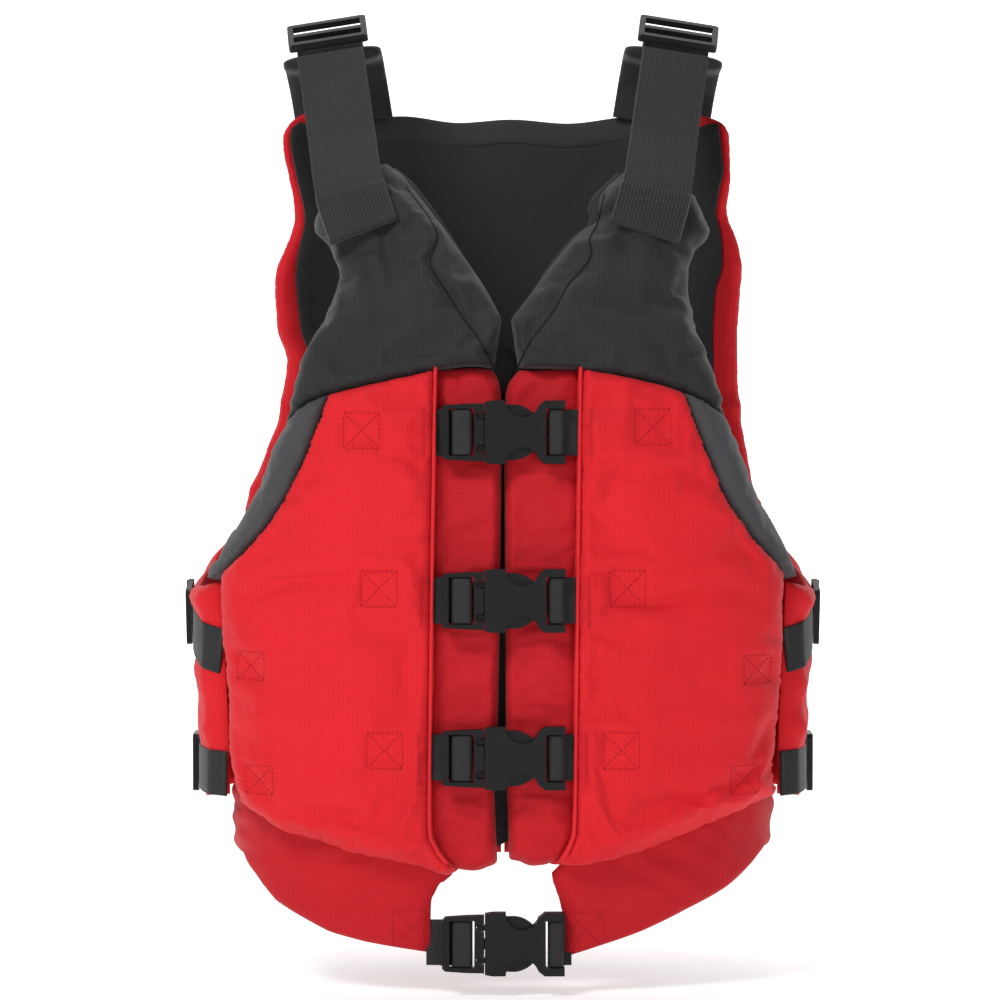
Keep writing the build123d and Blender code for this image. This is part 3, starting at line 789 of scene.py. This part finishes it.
def pillow_section(width, thick, count, power):
    """A rounded oblong seen end-on; a higher power gives squarer corners."""
    turn = np.linspace(0, 2 * math.pi, count, endpoint=False)
    c, s = np.cos(turn), np.sin(turn)
    return np.stack(
        [
            width / 2 * np.sign(c) * np.abs(c) ** (2 / power),
            thick / 2 * np.sign(s) * np.abs(s) ** (2 / power),
        ],
        -1,
    )


# ---------------------------------------------------------------------------------------------
# Back panel: one piece of cover and one of lining, each across the whole back
BACK_LEFT = [(158, 22), (157, 110), (157, 196), (151.5, 212), (144, 257), (141.5, 297), (142.5, 331)]
BACK_LEFT += [(143, 344), (138, 365), (134, 376), (135.5, 398), (138.5, 417), (131, 427), (121, 433)]
BACK_RIGHT = [(158, 22), (157, 110), (156, 196), (147, 225), (136.5, 254), (134.5, 267), (131, 290)]
BACK_RIGHT += [(136, 306), (137, 338), (131, 356), (125, 374), (128, 398), (131, 417), (127, 428)]
BACK_RIGHT += [(119, 435)]
BACK_TOP_EDGE = [(-119, 435), (-96, 432), (-64, 435), (-30, 431.5), (6, 433.5), (44, 431)]
BACK_TOP_EDGE += [(83, 434.5), (121, 433)]


BACK_LOW = [(-158, 22), (158, 22)]
BACK_STEP = 4.2
QUILTING = (122, 262)


def back_height(flat):
    """Outer offset from the torso over the back, which is fuller at the foot of its sides."""
    left, right = smooth(BACK_LEFT, 3), smooth(BACK_RIGHT, 3) * (-1, 1)
    top, under = smooth(BACK_TOP_EDGE, 3), np.array(BACK_LOW, float)
    full = station(flat[:, 1], FOAM)
    height, pucker = np.ones(len(flat)), np.zeros(len(flat))
    low = 0.3 * np.clip((215 - flat[:, 1]) / 30, 0, 1)
    edges = ((left, 16, 0.35 + low), (right, 16, 0.35 + low), (top, 11, 0.35), (under, 16, 0.3))
    for k, (edge, radius, least) in enumerate(edges):
        gap, along = nearest(flat, edge)
        height = np.minimum(height, edge_profile(gap, radius, least))
        waves = ripple(np.stack([along, gap * 0.25], -1), 9.5, 60 + k)
        pucker += 0.45 * waves * np.exp(-gap / 16.0) * np.clip(gap / 3.0, 0, 1)
    # two lines of quilting across the back divide its foam
    for k, z in enumerate(QUILTING):
        gap = np.abs(flat[:, 1] - z)
        pucker -= 3.4 * np.exp(-((gap / 3.6) ** 2))
        waves = ripple(np.stack([flat[:, 0], gap * 0.3], -1), 9.0, 80 + k)
        pucker += waves * np.exp(-gap / 12) * np.clip(gap / 3, 0, 1)
    swell = 1.2 * ripple(flat, 50.0, 33.0) + 0.45 * ripple(flat, 18.0, 34.0)
    return full * height + pucker + swell * height


def back_panel():
    def heights(flat):
        outer = back_height(flat)
        return outer, np.full(len(flat), INNER), outer

    right = [(-x, z) for x, z in BACK_RIGHT]
    loop = chain([BACK_LOW, BACK_LEFT, BACK_TOP_EDGE[::-1], right[::-1]], BACK_STEP)
    made["back_cover"] = slab("back_panel", on_back, loop, BACK_STEP, heights, RED)


LINING_STEP = 6.0
LINING_SHARE = 0.985
LINING_FACES = (0.2, -1.0)
# The edge of the flap behind the front opening, and the heights it runs between.
FLAP_X, FLAP_LOW, FLAP_HIGH = -9.0, 14, 292


def lining_sheet(name, place, loop, share, sign=1):
    """A thin lining on the torso side of a panel, which is seen at a share of the foam's thickness."""

    def heights(flat):
        sag = 0.9 * ripple(flat, 30.0, 91.0) + 0.35 * ripple(flat, 11.0, 92.0)
        outer, inner = LINING_FACES
        return outer + sag, inner + sag, station(flat[:, 1], FOAM) * share

    return slab(name, place, loop, LINING_STEP, heights, LINING, sign)[0]


def front_lining(side):
    """A little smaller than the panels in front of it."""
    sign, shape = SIDES[side]
    to_armhole = [shape["side"][-1], shape["armhole"][0]]
    curves = [shape[key] for key in ("centre", "placket_hem", "hem", "side")] + [to_armhole]
    curves += [shape[key] for key in ("armhole", "shoulder", "notch", "top", "neck")]
    outline = chain(curves, LINING_STEP)
    middle = outline.mean(0)
    outline = middle + (outline - middle) * LINING_SHARE
    # on one side the lining runs on as a flap behind the front opening
    if side == "right":
        flap = (outline[:, 0] < 12) & (outline[:, 1] > FLAP_LOW) & (outline[:, 1] < FLAP_HIGH)
        outline[flap, 0] = FLAP_X
    made[f"lining_{side}"] = lining_sheet(f"inner_lining_{side}", on_front, outline, 0.9, sign)


def back_lining():
    """The back's lining, and the rolled band along the back's top edge on the torso side."""
    inset = lambda z: float(np.interp(z, [190, 215, 330, 352, 400, 440], [1.0, 5.0, 6.5, 2.0, -0.5, 0.5]))
    left = [(x - inset(z), z) for x, z in BACK_LEFT]
    right = [(inset(z) - x, z) for x, z in BACK_RIGHT]
    top = [(x * 0.955, z - 9) for x, z in BACK_TOP_EDGE]
    left[-1], right[-1] = top[-1], top[0]
    outline = chain([[(-156, 24), (156, 24)], left, top[::-1], right[::-1]], LINING_STEP)
    made["lining_back"] = lining_sheet("inner_lining_back", on_back, outline, 0.42)
    path = [skin(x, z - 6.5, 1.0, back=True, seen=12.0) for x, z in smooth(BACK_TOP_EDGE, 4)]
    section = pillow_section(14.5, 4.6, 24, 2.6)
    # the band is drawn in the lighter copy of the lining, painted light on its rolled top
    made["back_top_band"] = sweep("back_top_band", path, (0, 0, 1), section, LIT_LINING)


# Side straps by their middle's height at the front and at the back.
SIDE_STRAPS = {"upper": (110, 166), "lower": (50, 58)}
SIDE_STRAP_END = 95
GUSSET_ROWS, GUSSET_COLUMNS = 34, 44


def strap_height(y, z_front, z_back):
    """Height of a side strap's middle, which climbs evenly between its two ends."""
    share = (np.asarray(y) + SIDE_STRAP_END) / (2 * SIDE_STRAP_END)
    return z_front + (z_back - z_front) * share


def rolled(soft):
    """How full a soft piece is near its edge, from a quarter circle."""
    return np.sqrt(1 - (1 - soft) ** 2)


def side_gusset(side, front, back):
    """The soft panel under the arm, between two plan angles, which the side straps squeeze."""
    sign = SIDES[side][0]
    seed = 14.0 if sign > 0 else 21.0
    rows, columns = GUSSET_ROWS, GUSSET_COLUMNS
    angle, down = np.meshgrid(np.linspace(front, back, columns), np.linspace(0, 1, rows), indexing="ij")
    share = (angle - front) / (back - front)
    top = np.interp(share, [0, 0.15, 0.5, 0.8, 1], [160, 157, 158, 168, 184])
    bottom = np.interp(share, [0, 0.5, 1], [40, 35, 38])
    z = top * (1 - down) + bottom * down
    column = np.arange(columns)[:, None]
    rim = np.minimum(np.minimum(down, 1 - down) * (rows - 1), np.minimum(column, column[::-1]))
    soft = np.clip(rim / 3.0, 0, 1)
    spots = around(angle, z, 0).reshape(-1, 3)
    rippled = lambda scale, at, points=spots: ripple(points, scale, seed + at).reshape(z.shape)
    wave = rippled(21.0, 0) + 0.6 * rippled(9.0, 2, spots * (1, 1, 2.2))
    crease = angle / 9.0 + z / 11.0 + 1.5 * rippled(40.0, 5)
    wave += 1.6 * np.abs(np.sin(crease)) ** 3
    # straps squeeze it, and it swells between and beyond them
    for z_front, z_back in SIDE_STRAPS.values():
        gap = z - strap_height(spots[:, 1].reshape(z.shape), z_front, z_back)
        wave += 3.4 * np.exp(-(((np.abs(gap) - 25) / 10.0) ** 2)) * (1 + 0.5 * rippled(13, 8))
        wave *= 1 - 0.85 * np.exp(-((gap / 13.0) ** 4))
    wave += 11.0 * np.clip((z - 140) / 16, 0, 1) ** 1.5
    inner = np.interp(share, [0, 0.12, 0.88, 1], [20, 25.0, 25.0, 22])
    outer = np.interp(share, [0, 0.12, 0.88, 1], [24, 29.5, 29.5, 27])
    middle, full = (inner + outer) / 2, 0.25 + 0.75 * rolled(soft)
    high = middle + (outer - middle) * full + wave * soft * 0.7
    low = middle - (middle - inner) * full + wave * soft * 0.35
    made[f"side_panel_{side}"] = grid_piece(f"side_gusset_{side}", angle, z, high, low, sign, RED)


def grid_piece(name, angle, z, high, low, sign, material):
    """A closed piece over a grid of plan angles and heights, between two offsets from the torso."""
    columns, rows = z.shape
    points = np.vstack([around(angle, z, h).reshape(-1, 3) for h in (high, low)]) * (sign, 1, 1)
    faces, ring = grid_faces(rows, columns)
    return outwards(make(name, points, two_sided(faces, ring, rows * columns), material))


def side_parts(side):
    """The gusset and the two compression straps over it."""
    sign, shape = SIDES[side]
    seam = smooth(shape["side"], 3)
    z_mid = 100.0
    front = -float(angle_of(np.interp(z_mid, seam[:, 1], seam[:, 0]), z_mid, 21.0)) - 1.0
    back = 24.0
    side_gusset(side, front, back)
    for name, (z_front, z_back) in SIDE_STRAPS.items():
        angles = np.linspace(front - 1, back + 1, 60)
        share = (angles - front) / (back - front)
        z = strap_height(around(angles, z_front, 30)[:, 1], z_front, z_back)
        lift = np.interp(share, [0, 0.1, 0.5, 0.9, 1], [24.5, 30.0, 31.2, 30.0, 27])
        path = around(angles, z, lift) * (sign, 1, 1)
        made[f"side_strap_{name}_{side}"] = sweep(
            f"cinch_strap_{name}_{side}", path, (0, 0, 1), web_section(WEB, WEB_THICK, 17), WEBBING
        )


WING_ROWS, WING_COLUMNS, WING_OFFSET = 22, 110, 9.2


def wing(side):
    """Half of the waist belt: a flat padded wing from its inner end at the front round to the back."""
    sign = SIDES[side][0]
    if side == "right":
        bottom = [(40, -44.6), (75, -39.5), (96, -34.6), (110, -28), (127, -19), (140, -4), (146, 5)]
        top = [(28, -1), (36, 8), (62, 14), (104, 24), (133, 35), (150, 45)]
        inner_edge = [(28, -1), (31, -5.5), (38, -15), (40, -22), (40, -44.6)]
    else:
        bottom = [(34.7, -46.8), (55, -40.5), (75, -34), (103, -21.5), (125, -11), (142, 3), (149, 11)]
        top = [(27, 0), (36, 9), (46, 13), (88, 22), (130, 37), (152, 46)]
        inner_edge = [(27, 0), (28, -6), (33, -25), (34.7, -46.8)]
    to_angle = lambda points: [-float(angle_of(x, z, WING_OFFSET)) for x, z in points]
    low_a, low_z = to_angle(bottom), [z for x, z in bottom]
    top_a, top_z = to_angle(top), [z for x, z in top]
    low_a, low_z = low_a + [0.0, 60.0, 90.0], low_z + [6.0, -4.0, -8.0]
    top_a, top_z = top_a + [0.0, 60.0, 90.0], top_z + [45.0, 30.0, 26.0]
    rows, columns = WING_ROWS, WING_COLUMNS
    v = np.linspace(0, 1, rows)
    edge = smooth(inner_edge, 1.0)
    start = np.array(to_angle(edge[np.linspace(0, len(edge) - 1, rows).astype(int)]))
    u = np.linspace(0, 1, columns) ** 0.9
    angle = start[None, :] * (1 - u[:, None]) + 89.9 * u[:, None]
    z = np.interp(angle, top_a, top_z) * (1 - v) + np.interp(angle, low_a, low_z) * v
    rim = np.minimum(np.minimum(v, 1 - v)[None, :] * (rows - 1), np.arange(columns)[:, None])
    soft = np.clip(rim / 2.5, 0, 1)
    full = 0.3 + 0.7 * rolled(soft)
    base = around(angle, z, 9.0).reshape(-1, 3)
    seed = 41.0 if sign > 0 else 52.0
    fold = np.sin((base[:, 0] * 0.9 + base[:, 2] * 1.5) / 7.5 + 2.2 * ripple(base, 38.0, seed))
    wave = 2.2 * (np.abs(fold) ** 2.5) * np.clip(ripple(base, 33.0, seed + 1) + 0.45, 0, 1)
    wave = (wave + 0.8 * ripple(base, 15.0, seed + 3)).reshape(z.shape)
    high = WING_OFFSET + 2.6 * full + wave * soft
    low = WING_OFFSET - 2.4 * full
    # painted shade: the wings are drawn in the darker copy of the red
    made[f"belt_wing_{side}"] = grid_piece(f"waist_wing_{side}", angle, z, high, low, sign, SHADED_RED)


# ---------------------------------------------------------------------------------------------
# Shoulders, in a plane that leans outwards towards the top
LEAN = math.radians(9)
SHOULDER_X, SHOULDER_Z = 82.0, 353.0


def shoulder(y, v, sign):
    """The point at depth y and height v, before leaning, of one shoulder."""
    x = SHOULDER_X + math.sin(LEAN) * (v - SHOULDER_Z)
    return np.array([sign * x, y, SHOULDER_Z * (1 - math.cos(LEAN)) + v * math.cos(LEAN)])


PAD_STEP, TAIL_STEP = 1.5, 1.6
# How far the tail's end leans inwards, over its last stretch, and how much of it is sewn double.
TAIL_LEAN, TAIL_LEAN_LENGTH, TAIL_DOUBLE = {"left": 3.5, "right": 5.0}, 42, 28


def shoulder_parts(side):
    """The padded strap, the webbing on both sides of the lock, and the loose tail."""
    sign = SIDES[side][0]
    across = np.array([math.cos(LEAN) * sign, 0, -math.sin(LEAN)])
    route = lambda points: [shoulder(y, v, sign) for y, v in points]
    # the padded strap is a flat pillow that arches from the back's top edge to the summit
    path = evenly(fillet(route([(61, 431), (58.5, 452), (37, 465.2), (7.5, 465.2)]), 16, 9), PAD_STEP)
    t = np.arange(len(path)) * PAD_STEP
    end = rolled(np.clip((t[-1] - t) / 9.0, 0, 1))
    size = np.stack([0.86 + 0.14 * end, 0.35 + 0.65 * end], -1)
    made[f"shoulder_pad_{side}"] = sweep(
        f"padded_strap_{side}", path, across, pillow_section(58, 9.0, 56, 3.6), CHARCOAL, size
    )
    for key, name, points, step, radius in (
        ("shoulder_pad_webbing", "pad_strap_web", [(44, 470.6), (15, 470.9), (6.8, 480.2)], 1.5, 4.0),
        ("shoulder_webbing", "shoulder_strap", [(-6.5, 470), (-47, 402), (-58, 372), (-62, 358)], 2.0, 12),
    ):
        web = webbing(f"{name}_{side}", route(points), across, WIDE_WEB, WEB_THICK, step, radius, 25)
        made[f"{key}_{side}"] = web
    path = evenly(fillet(route([(-20.5, 464.5), (-50, 414), (-71, 384), (-82, 355)]), 30, 9), TAIL_STEP)
    reach = distances(path)[-1] * np.linspace(0, 1, len(path))
    lean = np.clip((reach - reach[-1] + TAIL_LEAN_LENGTH) / TAIL_LEAN_LENGTH, 0, 1) ** 2 * TAIL_LEAN[side]
    path = path - across * lean[:, None]
    # the end is folded under twice and stitched, so it is thicker
    t = np.arange(len(path))[::-1] * TAIL_STEP
    double = np.clip((TAIL_DOUBLE - t) / 1.2, 0, 1)
    width = 1.0 + 0.03 * np.clip((60 - t) / 40, 0, 1) + 0.03 * double
    size = np.stack([width, 1.0 + 1.6 * double], -1)
    made[f"shoulder_tail_{side}"] = sweep(
        f"strap_tail_{side}", path, across, web_section(WIDE_WEB, WEB_THICK, 21), WEBBING, size
    )
    made[f"tail_path_{side}"] = (path, across)


# ---------------------------------------------------------------------------------------------
# Buckle webbing on the CAD's route, and piping
# How far from the middle the webbing is sewn in, and where its other layer ends.
SEWN_IN = (60, 50)
SEWN_IN_WAIST = {"right": (42.5, 35), "left": (38, 34.5)}


def buckle_webbing(side):
    """Webbing sewn in at its anchor, round the buckle's bar and back beneath itself."""
    parts = []
    for name, z in HEIGHTS.items():
        low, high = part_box(f"buckle_{name}_socket")
        depth = -(low.y + high.y) / 2 / MM
        anchor, fold = SEWN_IN_WAIST[side] if name == "waist" else SEWN_IN
        if side == "right":
            bar, loop_end, rise, sign = 17.65, 27.4, 2.6, -1
        else:
            bar, loop_end, rise, sign = 25.55, 32.4, 2.8, 1
        route = [(anchor, -7.4), (bar, -7.4), (bar, rise), (loop_end, rise), (loop_end, -5.4), (fold, -5.4)]
        points = [(sign * x, -depth - h, z) for x, h in route]
        web = webbing(f"buckle_webbing_{name}_{side}", points, (0, 0, 1), WEB, 1.7, 1.0, 1.4, 20)
        parts.append(web)
    made[f"buckle_webbing_{side}"] = parts


def piping(side):
    """The cord sewn in beside the placket."""
    sign, shape = SIDES[side]
    points = smooth(shape["piping"], 2.0)[:-4]
    h = station(points[:, 1], FOAM) * 0.9 + 0.25 * ripple(points, 7.0, 5.0 + sign)
    path = evenly(skin((points[:, 0] - 0.4) * sign, points[:, 1], h), 2.0)
    # the cord is drawn in the lighter copy of the red, a painted highlight
    made[f"piping_{side}"] = sweep(f"piping_{side}", path, (0, 1, 0.3), round_section(1.05, 10), PIPING_HIGHLIGHT)


# ---------------------------------------------------------------------------------------------
# Inflating the padded panels
PADDED = [f"{part}_{side}" for side in SIDES for part in ("chest", "yoke", "band", "placket")]
PADDED.append("back_cover")
# Each panel is held at its rim, and less and less up to this far from it, in mm.
PIN_WIDTH = 7
# Pressure, shrink, frames, stiffness and most movement in mm.
SIM = {
    "chest": (4.0, -0.045, 16, 7.0, 3.4),
    "yoke": (4.0, -0.06, 16, 6.0, 3.4),
    "band": (3.0, -0.03, 12, 6.0, 1.6),
    "placket": (3.0, -0.04, 14, 6.0, 1.8),
    "back": (4.0, -0.03, 14, 7.0, 3.0),
}


def inflate():
    """Each padded panel is puffed up as cloth held at its sewn edges, then smoothed."""
    for key in PADDED:
        obj, n, m = made[key]
        weights = np.ones(2 * n)
        flat = np.array([v.co for v in obj.data.vertices])[:n]
        ring = KDTree(m)
        for i in range(m):
            ring.insert(flat[i], i)
        ring.balance()
        gap = np.array([ring.find(p)[2] for p in flat])
        weights[:n] = np.clip(1 - gap / (PIN_WIDTH * MM), 0, 1) ** 0.7
        weights[:m] = 1
        puff(obj, pinned(obj, weights), *SIM[key.split("_")[0]])
        smoothing = obj.modifiers.new("smooth", "SUBSURF")
        smoothing.levels = smoothing.render_levels = 1


# ---------------------------------------------------------------------------------------------
# Stitching
def surface(obj):
    """What shows of a piece, ready to be hit by rays."""
    return BVHTree.FromObject(obj, bpy.context.evaluated_depsgraph_get())


# Where rays start, in metres in front of the jacket, and the way they go.
RAY_START, RAY = -0.4, Vector((0, 1, 0))
STITCH_SIDES = 5
# Each stitch's rings: how far along it, and how high above the cloth in mm.
STITCH = ((0, -0.25), (0.22, 0.16), (0.78, 0.16), (1, -0.25))


def hit_at(tree, x, z):
    """The point of a surface that is seen from the front at (x, z), and its normal towards the front."""
    spot, normal, _, _ = tree.ray_cast(Vector((x * MM, RAY_START, z * MM)), RAY)
    if spot is None:
        return None
    return spot, -normal if normal.dot(RAY) > 0 else normal


def sew(name, obj, lines, material, length, gap, radius):
    """Rows of stitches on a piece. Each line is a list of (x, z) in mm, seen from the front."""
    tree, n = surface(obj), STITCH_SIDES
    verts, faces = [], []
    for points in lines:
        path = straight(points, 0.5)
        run = distances(path)
        at = 0.3
        while at + length < run[-1]:
            hits = []
            for share, _ in STITCH:
                x, z = (np.interp(at + share * length, run, path[:, k]) for k in (0, 1))
                hits.append(hit_at(tree, x, z))
            at += length + gap
            if None in hits:
                continue
            ring = [(spot + normal * lift * MM, normal) for (spot, normal), (_, lift) in zip(hits, STITCH)]
            if (ring[-1][0] - ring[0][0]).length > 3 * length * MM:
                continue
            along = (ring[-1][0] - ring[0][0]).normalized()
            first = len(verts)
            for spot, normal in ring:
                side = along.cross(normal).normalized()
                for turn in (2 * math.pi * k / n for k in range(n)):
                    verts.append(spot + (side * math.cos(turn) + normal * math.sin(turn)) * radius * MM)
            for r in range(len(STITCH) - 1):
                for k in range(n):
                    a, b = first + n * r + k, first + n * r + (k + 1) % n
                    faces.append((a, b, b + n, a + n))
            last = first + n * (len(STITCH) - 1)
            faces += [tuple(first + k for k in range(n))[::-1], tuple(last + k for k in range(n))]
    return make(name, np.array(verts) / MM, faces, material)


def seam_shade_cord(name, obj, points, material, radius=0.6, sink=0.1):
    """A thin dark cord lying in a seam: painted shade along the seam's groove."""
    tree = surface(obj)
    hits = [hit_at(tree, x, z) for x, z in smooth(points, 1.2)]
    path = [np.array(spot - normal * sink * MM) / MM for spot, normal in filter(None, hits)]
    return sweep(name, path, (0.3, 0.2, 1), round_section(radius, 8), material)


def straight(points, step):
    """Points along a straight line, a step or less apart."""
    (x0, z0), (x1, z1) = points
    count = max(2, int(math.hypot(x1 - x0, z1 - z0) / step) + 1)
    return np.stack([np.linspace(x0, x1, count), np.linspace(z0, z1, count)], -1)


def box_x(x, z, width):
    """Four sides and two diagonals of a sewn square."""
    h = width / 2
    a, b, c, d = (x - h, z - h), (x + h, z - h), (x + h, z + h), (x - h, z + h)
    return [[a, b], [b, c], [c, d], [d, a], [a, c], [b, d]]


def stitches():
    """The stitching that shows, each row riding with the cloth it holds."""
    for side, (sign, shape) in SIDES.items():
        half = f"{side}_half"
        signed = lambda lines: [[(x * sign, z) for x, z in row] for row in lines]
        chest, yoke = (made[f"{key}_{side}"][0] for key in ("chest", "yoke"))
        boxes = [row for x, z, w in shape["boxes"] for row in box_x(x, z, w)]
        tacks = []
        for z in (HEIGHTS[name] for name in ("chest", "middle", "lower")):
            edge = float(np.interp(z, *zip(*sorted((pz, px) for px, pz in shape["piping"]))))
            tacks += [[(edge + gap, z - 15), (edge + gap, z + 15)] for gap in (5.0, 6.1)]
        rows = [
            sew(f"box_stitching_{side}", chest, signed(boxes), THREAD_RED, 1.9, 0.7, 0.3),
            sew(f"tack_stitching_{side}", chest, signed(tacks), THREAD_RED, 1.2, 0.4, 0.3),
        ]
        # painted shade: a dark cord along the neck's facing seam, where the groove is in shadow
        facing = seam_shade_cord(f"facing_seam_shade_{side}", yoke, signed([shape["facing"]])[0], SEAM_SHADE)
        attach(facing, half)
        wing = made[f"belt_wing_{side}"]
        wing_box = box_x(51, -31, 20) if side == "right" else box_x(46, -32, 20)
        rows.append(sew(f"wing_stitching_{side}", wing, signed(wing_box), THREAD_RED, 1.9, 0.7, 0.3))
        for row in rows:
            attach(row, half)
        tail, (path, across) = made[f"shoulder_tail_{side}"], made[f"tail_path_{side}"]
        end = path[-1] + (path[-14] - path[-1]) * 0.95
        ends = [end - across * 11, end + across * 11]
        ends = [(x, z) for x, _, z in ends]
        row = sew(f"tail_stitching_{side}", tail, [ends], THREAD_GREY, 2.6, 0.5, 0.4)
        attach(row, f"shoulder_tail_{side}")


def declare():
    """Works out, for each buckle strap, its cut and the piece that holds it, and does nothing with them."""
    for side in SIDES:
        for strap in made[f"buckle_webbing_{side}"]:
            cut, held_by = "socket_web" if side == "left" else "plug_web", made[f"placket_{side}"][0]
            if "waist" in strap.name:
                cut, held_by = f"{cut}_waist", made[f"belt_wing_{side}"]


def ride_everything():
    """Every piece rides on its body, and stands for the CAD nodes it was built from."""
    for side in SIDES:
        half = f"{side}_half"
        rows = {
            f"chest_{side}": ([f"front_cover_{side}", f"front_foam_{side}"], "red_ripstop"),
            f"yoke_{side}": ([f"front_yoke_{side}"], "charcoal_ripstop"),
            f"band_{side}": ([f"armhole_band_{side}"], "grey_fabric"),
            f"placket_{side}": ([f"front_placket_{side}"], "red_ripstop"),
            f"lining_{side}": ([f"front_lining_{side}"], "lining_fabric"),
            f"side_panel_{side}": ([f"side_panel_{side}"], "red_ripstop"),
            f"side_strap_upper_{side}": ([f"side_strap_upper_{side}"], "webbing"),
            f"side_strap_lower_{side}": ([f"side_strap_lower_{side}"], "webbing"),
            f"belt_wing_{side}": ([f"belt_wing_{side}"], "red_ripstop"),
            f"shoulder_pad_{side}": ([f"shoulder_pad_{side}"], "charcoal_ripstop"),
            f"shoulder_pad_webbing_{side}": ([f"shoulder_pad_webbing_{side}"], "webbing"),
            f"shoulder_webbing_{side}": ([f"shoulder_webbing_{side}"], "webbing"),
            f"piping_{side}": ([], "red_ripstop"),
        }
        for key, (nodes, slot) in rows.items():
            obj = made[key][0] if isinstance(made[key], tuple) else made[key]
            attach(obj, half)
            if nodes:
                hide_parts(*nodes)
        for strap in made[f"buckle_webbing_{side}"]:
            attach(strap, half)
            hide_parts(f"buckle_webbing_{side}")
        tail = made[f"shoulder_tail_{side}"]
        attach(tail, f"shoulder_tail_{side}")
        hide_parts(f"shoulder_tail_{side}")
    for key, nodes, slot in (
        (
            "back_cover",
            ["back_cover_left", "back_cover_right", "back_foam_left", "back_foam_right"],
            "red_ripstop",
        ),
        ("lining_back", ["back_lining_left", "back_lining_right"], "lining_fabric"),
        ("back_top_band", [], "lining_fabric"),
    ):
        obj = made[key][0] if isinstance(made[key], tuple) else made[key]
        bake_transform(obj)
        if nodes:
            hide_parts(*nodes)


def dress_hardware():
    """The moulded pieces keep their CAD shape, with softened edges and a satin finish."""
    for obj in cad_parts.values():
        if obj.hide_render:
            continue
        obj.data.materials.clear()
        obj.data.materials.append(PLASTIC)
        bevel = obj.modifiers.new("soft_edges", "BEVEL")
        bevel.width, bevel.segments, bevel.limit_method = 0.5 * MM, 2, "ANGLE"
        bevel.angle_limit = math.radians(35)
        bevel.harden_normals = True


# ---------------------------------------------------------------------------------------------
# Camera, light and floor
def area_light(name, place, aim, size, power):
    """A soft rectangular lamp at a place, aimed at a point."""
    data = bpy.data.lights.new(name, "AREA")
    data.shape, data.size, data.size_y = "RECTANGLE", size[0], size[1]
    data.energy = power
    obj = bpy.data.objects.new(name, data)
    bpy.context.scene.collection.objects.link(obj)
    obj.location = place
    obj.rotation_euler = (Vector(aim) - Vector(place)).to_track_quat("-Z", "Y").to_euler()


def studio():
    """Soft daylight in a white room."""
    world = bpy.data.worlds.new("studio")
    bpy.context.scene.world = world
    world.use_nodes = True
    background = world.node_tree.nodes["Background"]
    background.inputs["Color"].default_value = (1, 1, 1, 1)
    background.inputs["Strength"].default_value = 0.22
    area_light("key", (-0.75, -1.35, 1.3), (0, 0, 0.2), (0.6, 0.5), 19)
    area_light("fill", (0.7, -2.1, 0.3), (0, 0, 0.15), (0.8, 0.8), 5)
    area_light("top", (0, 0.2, 1.5), (0, 0, 0.2), (1.2, 0.8), 6)
    low = cad_low.z - 0.012
    plane("floor", [(-6, -6, low), (6, -6, low), (6, 6, low), (-6, 6, low)], 0.45)
    plane("backdrop", [(-6, 2.6, low), (6, 2.6, low), (6, 2.6, 5), (-6, 2.6, 5)], 0.85)


def plane(name, corners, glow):
    """A staged white surface, with a little light of its own so that it reads as a bright studio."""
    m, _, shader = new_material(name)
    shader.inputs["Base Color"].default_value = (0.9, 0.9, 0.9, 1)
    shader.inputs["Roughness"].default_value = 0.9
    shader.inputs["Emission Color"].default_value = (1, 1, 1, 1)
    shader.inputs["Emission Strength"].default_value = glow
    mesh = bpy.data.meshes.new(name)
    mesh.from_pydata(corners, [], [(0, 1, 2, 3)])
    mesh.materials.append(m)
    obj = bpy.data.objects.new(name, mesh)
    bpy.context.scene.collection.objects.link(obj)


# ---------------------------------------------------------------------------------------------
# Building it
for side in SIDES:
    front_panels(side)
back_panel()
for side in SIDES:
    side_parts(side)
    wing(side)
    shoulder_parts(side)
    front_lining(side)
back_lining()
for side in SIDES:
    buckle_webbing(side)
for side in SIDES:
    piping(side)
inflate()
stitches()
declare()
ride_everything()
dress_hardware()

studio()
# Where the camera stands, level with the chest and square to the front.
EYE, LENS = (-0.00165, -2.11, 0.206), 131.0
camera = bpy.data.cameras.new("camera")
camera.sensor_width, camera.lens = 36.0, LENS
camera.dof.use_dof = False
eye = bpy.data.objects.new("camera", camera)
bpy.context.scene.collection.objects.link(eye)
eye.location = EYE
eye.rotation_euler = (math.radians(90), 0, 0)
bpy.context.scene.camera = eye
bpy.context.scene.view_settings.view_transform = "Standard"
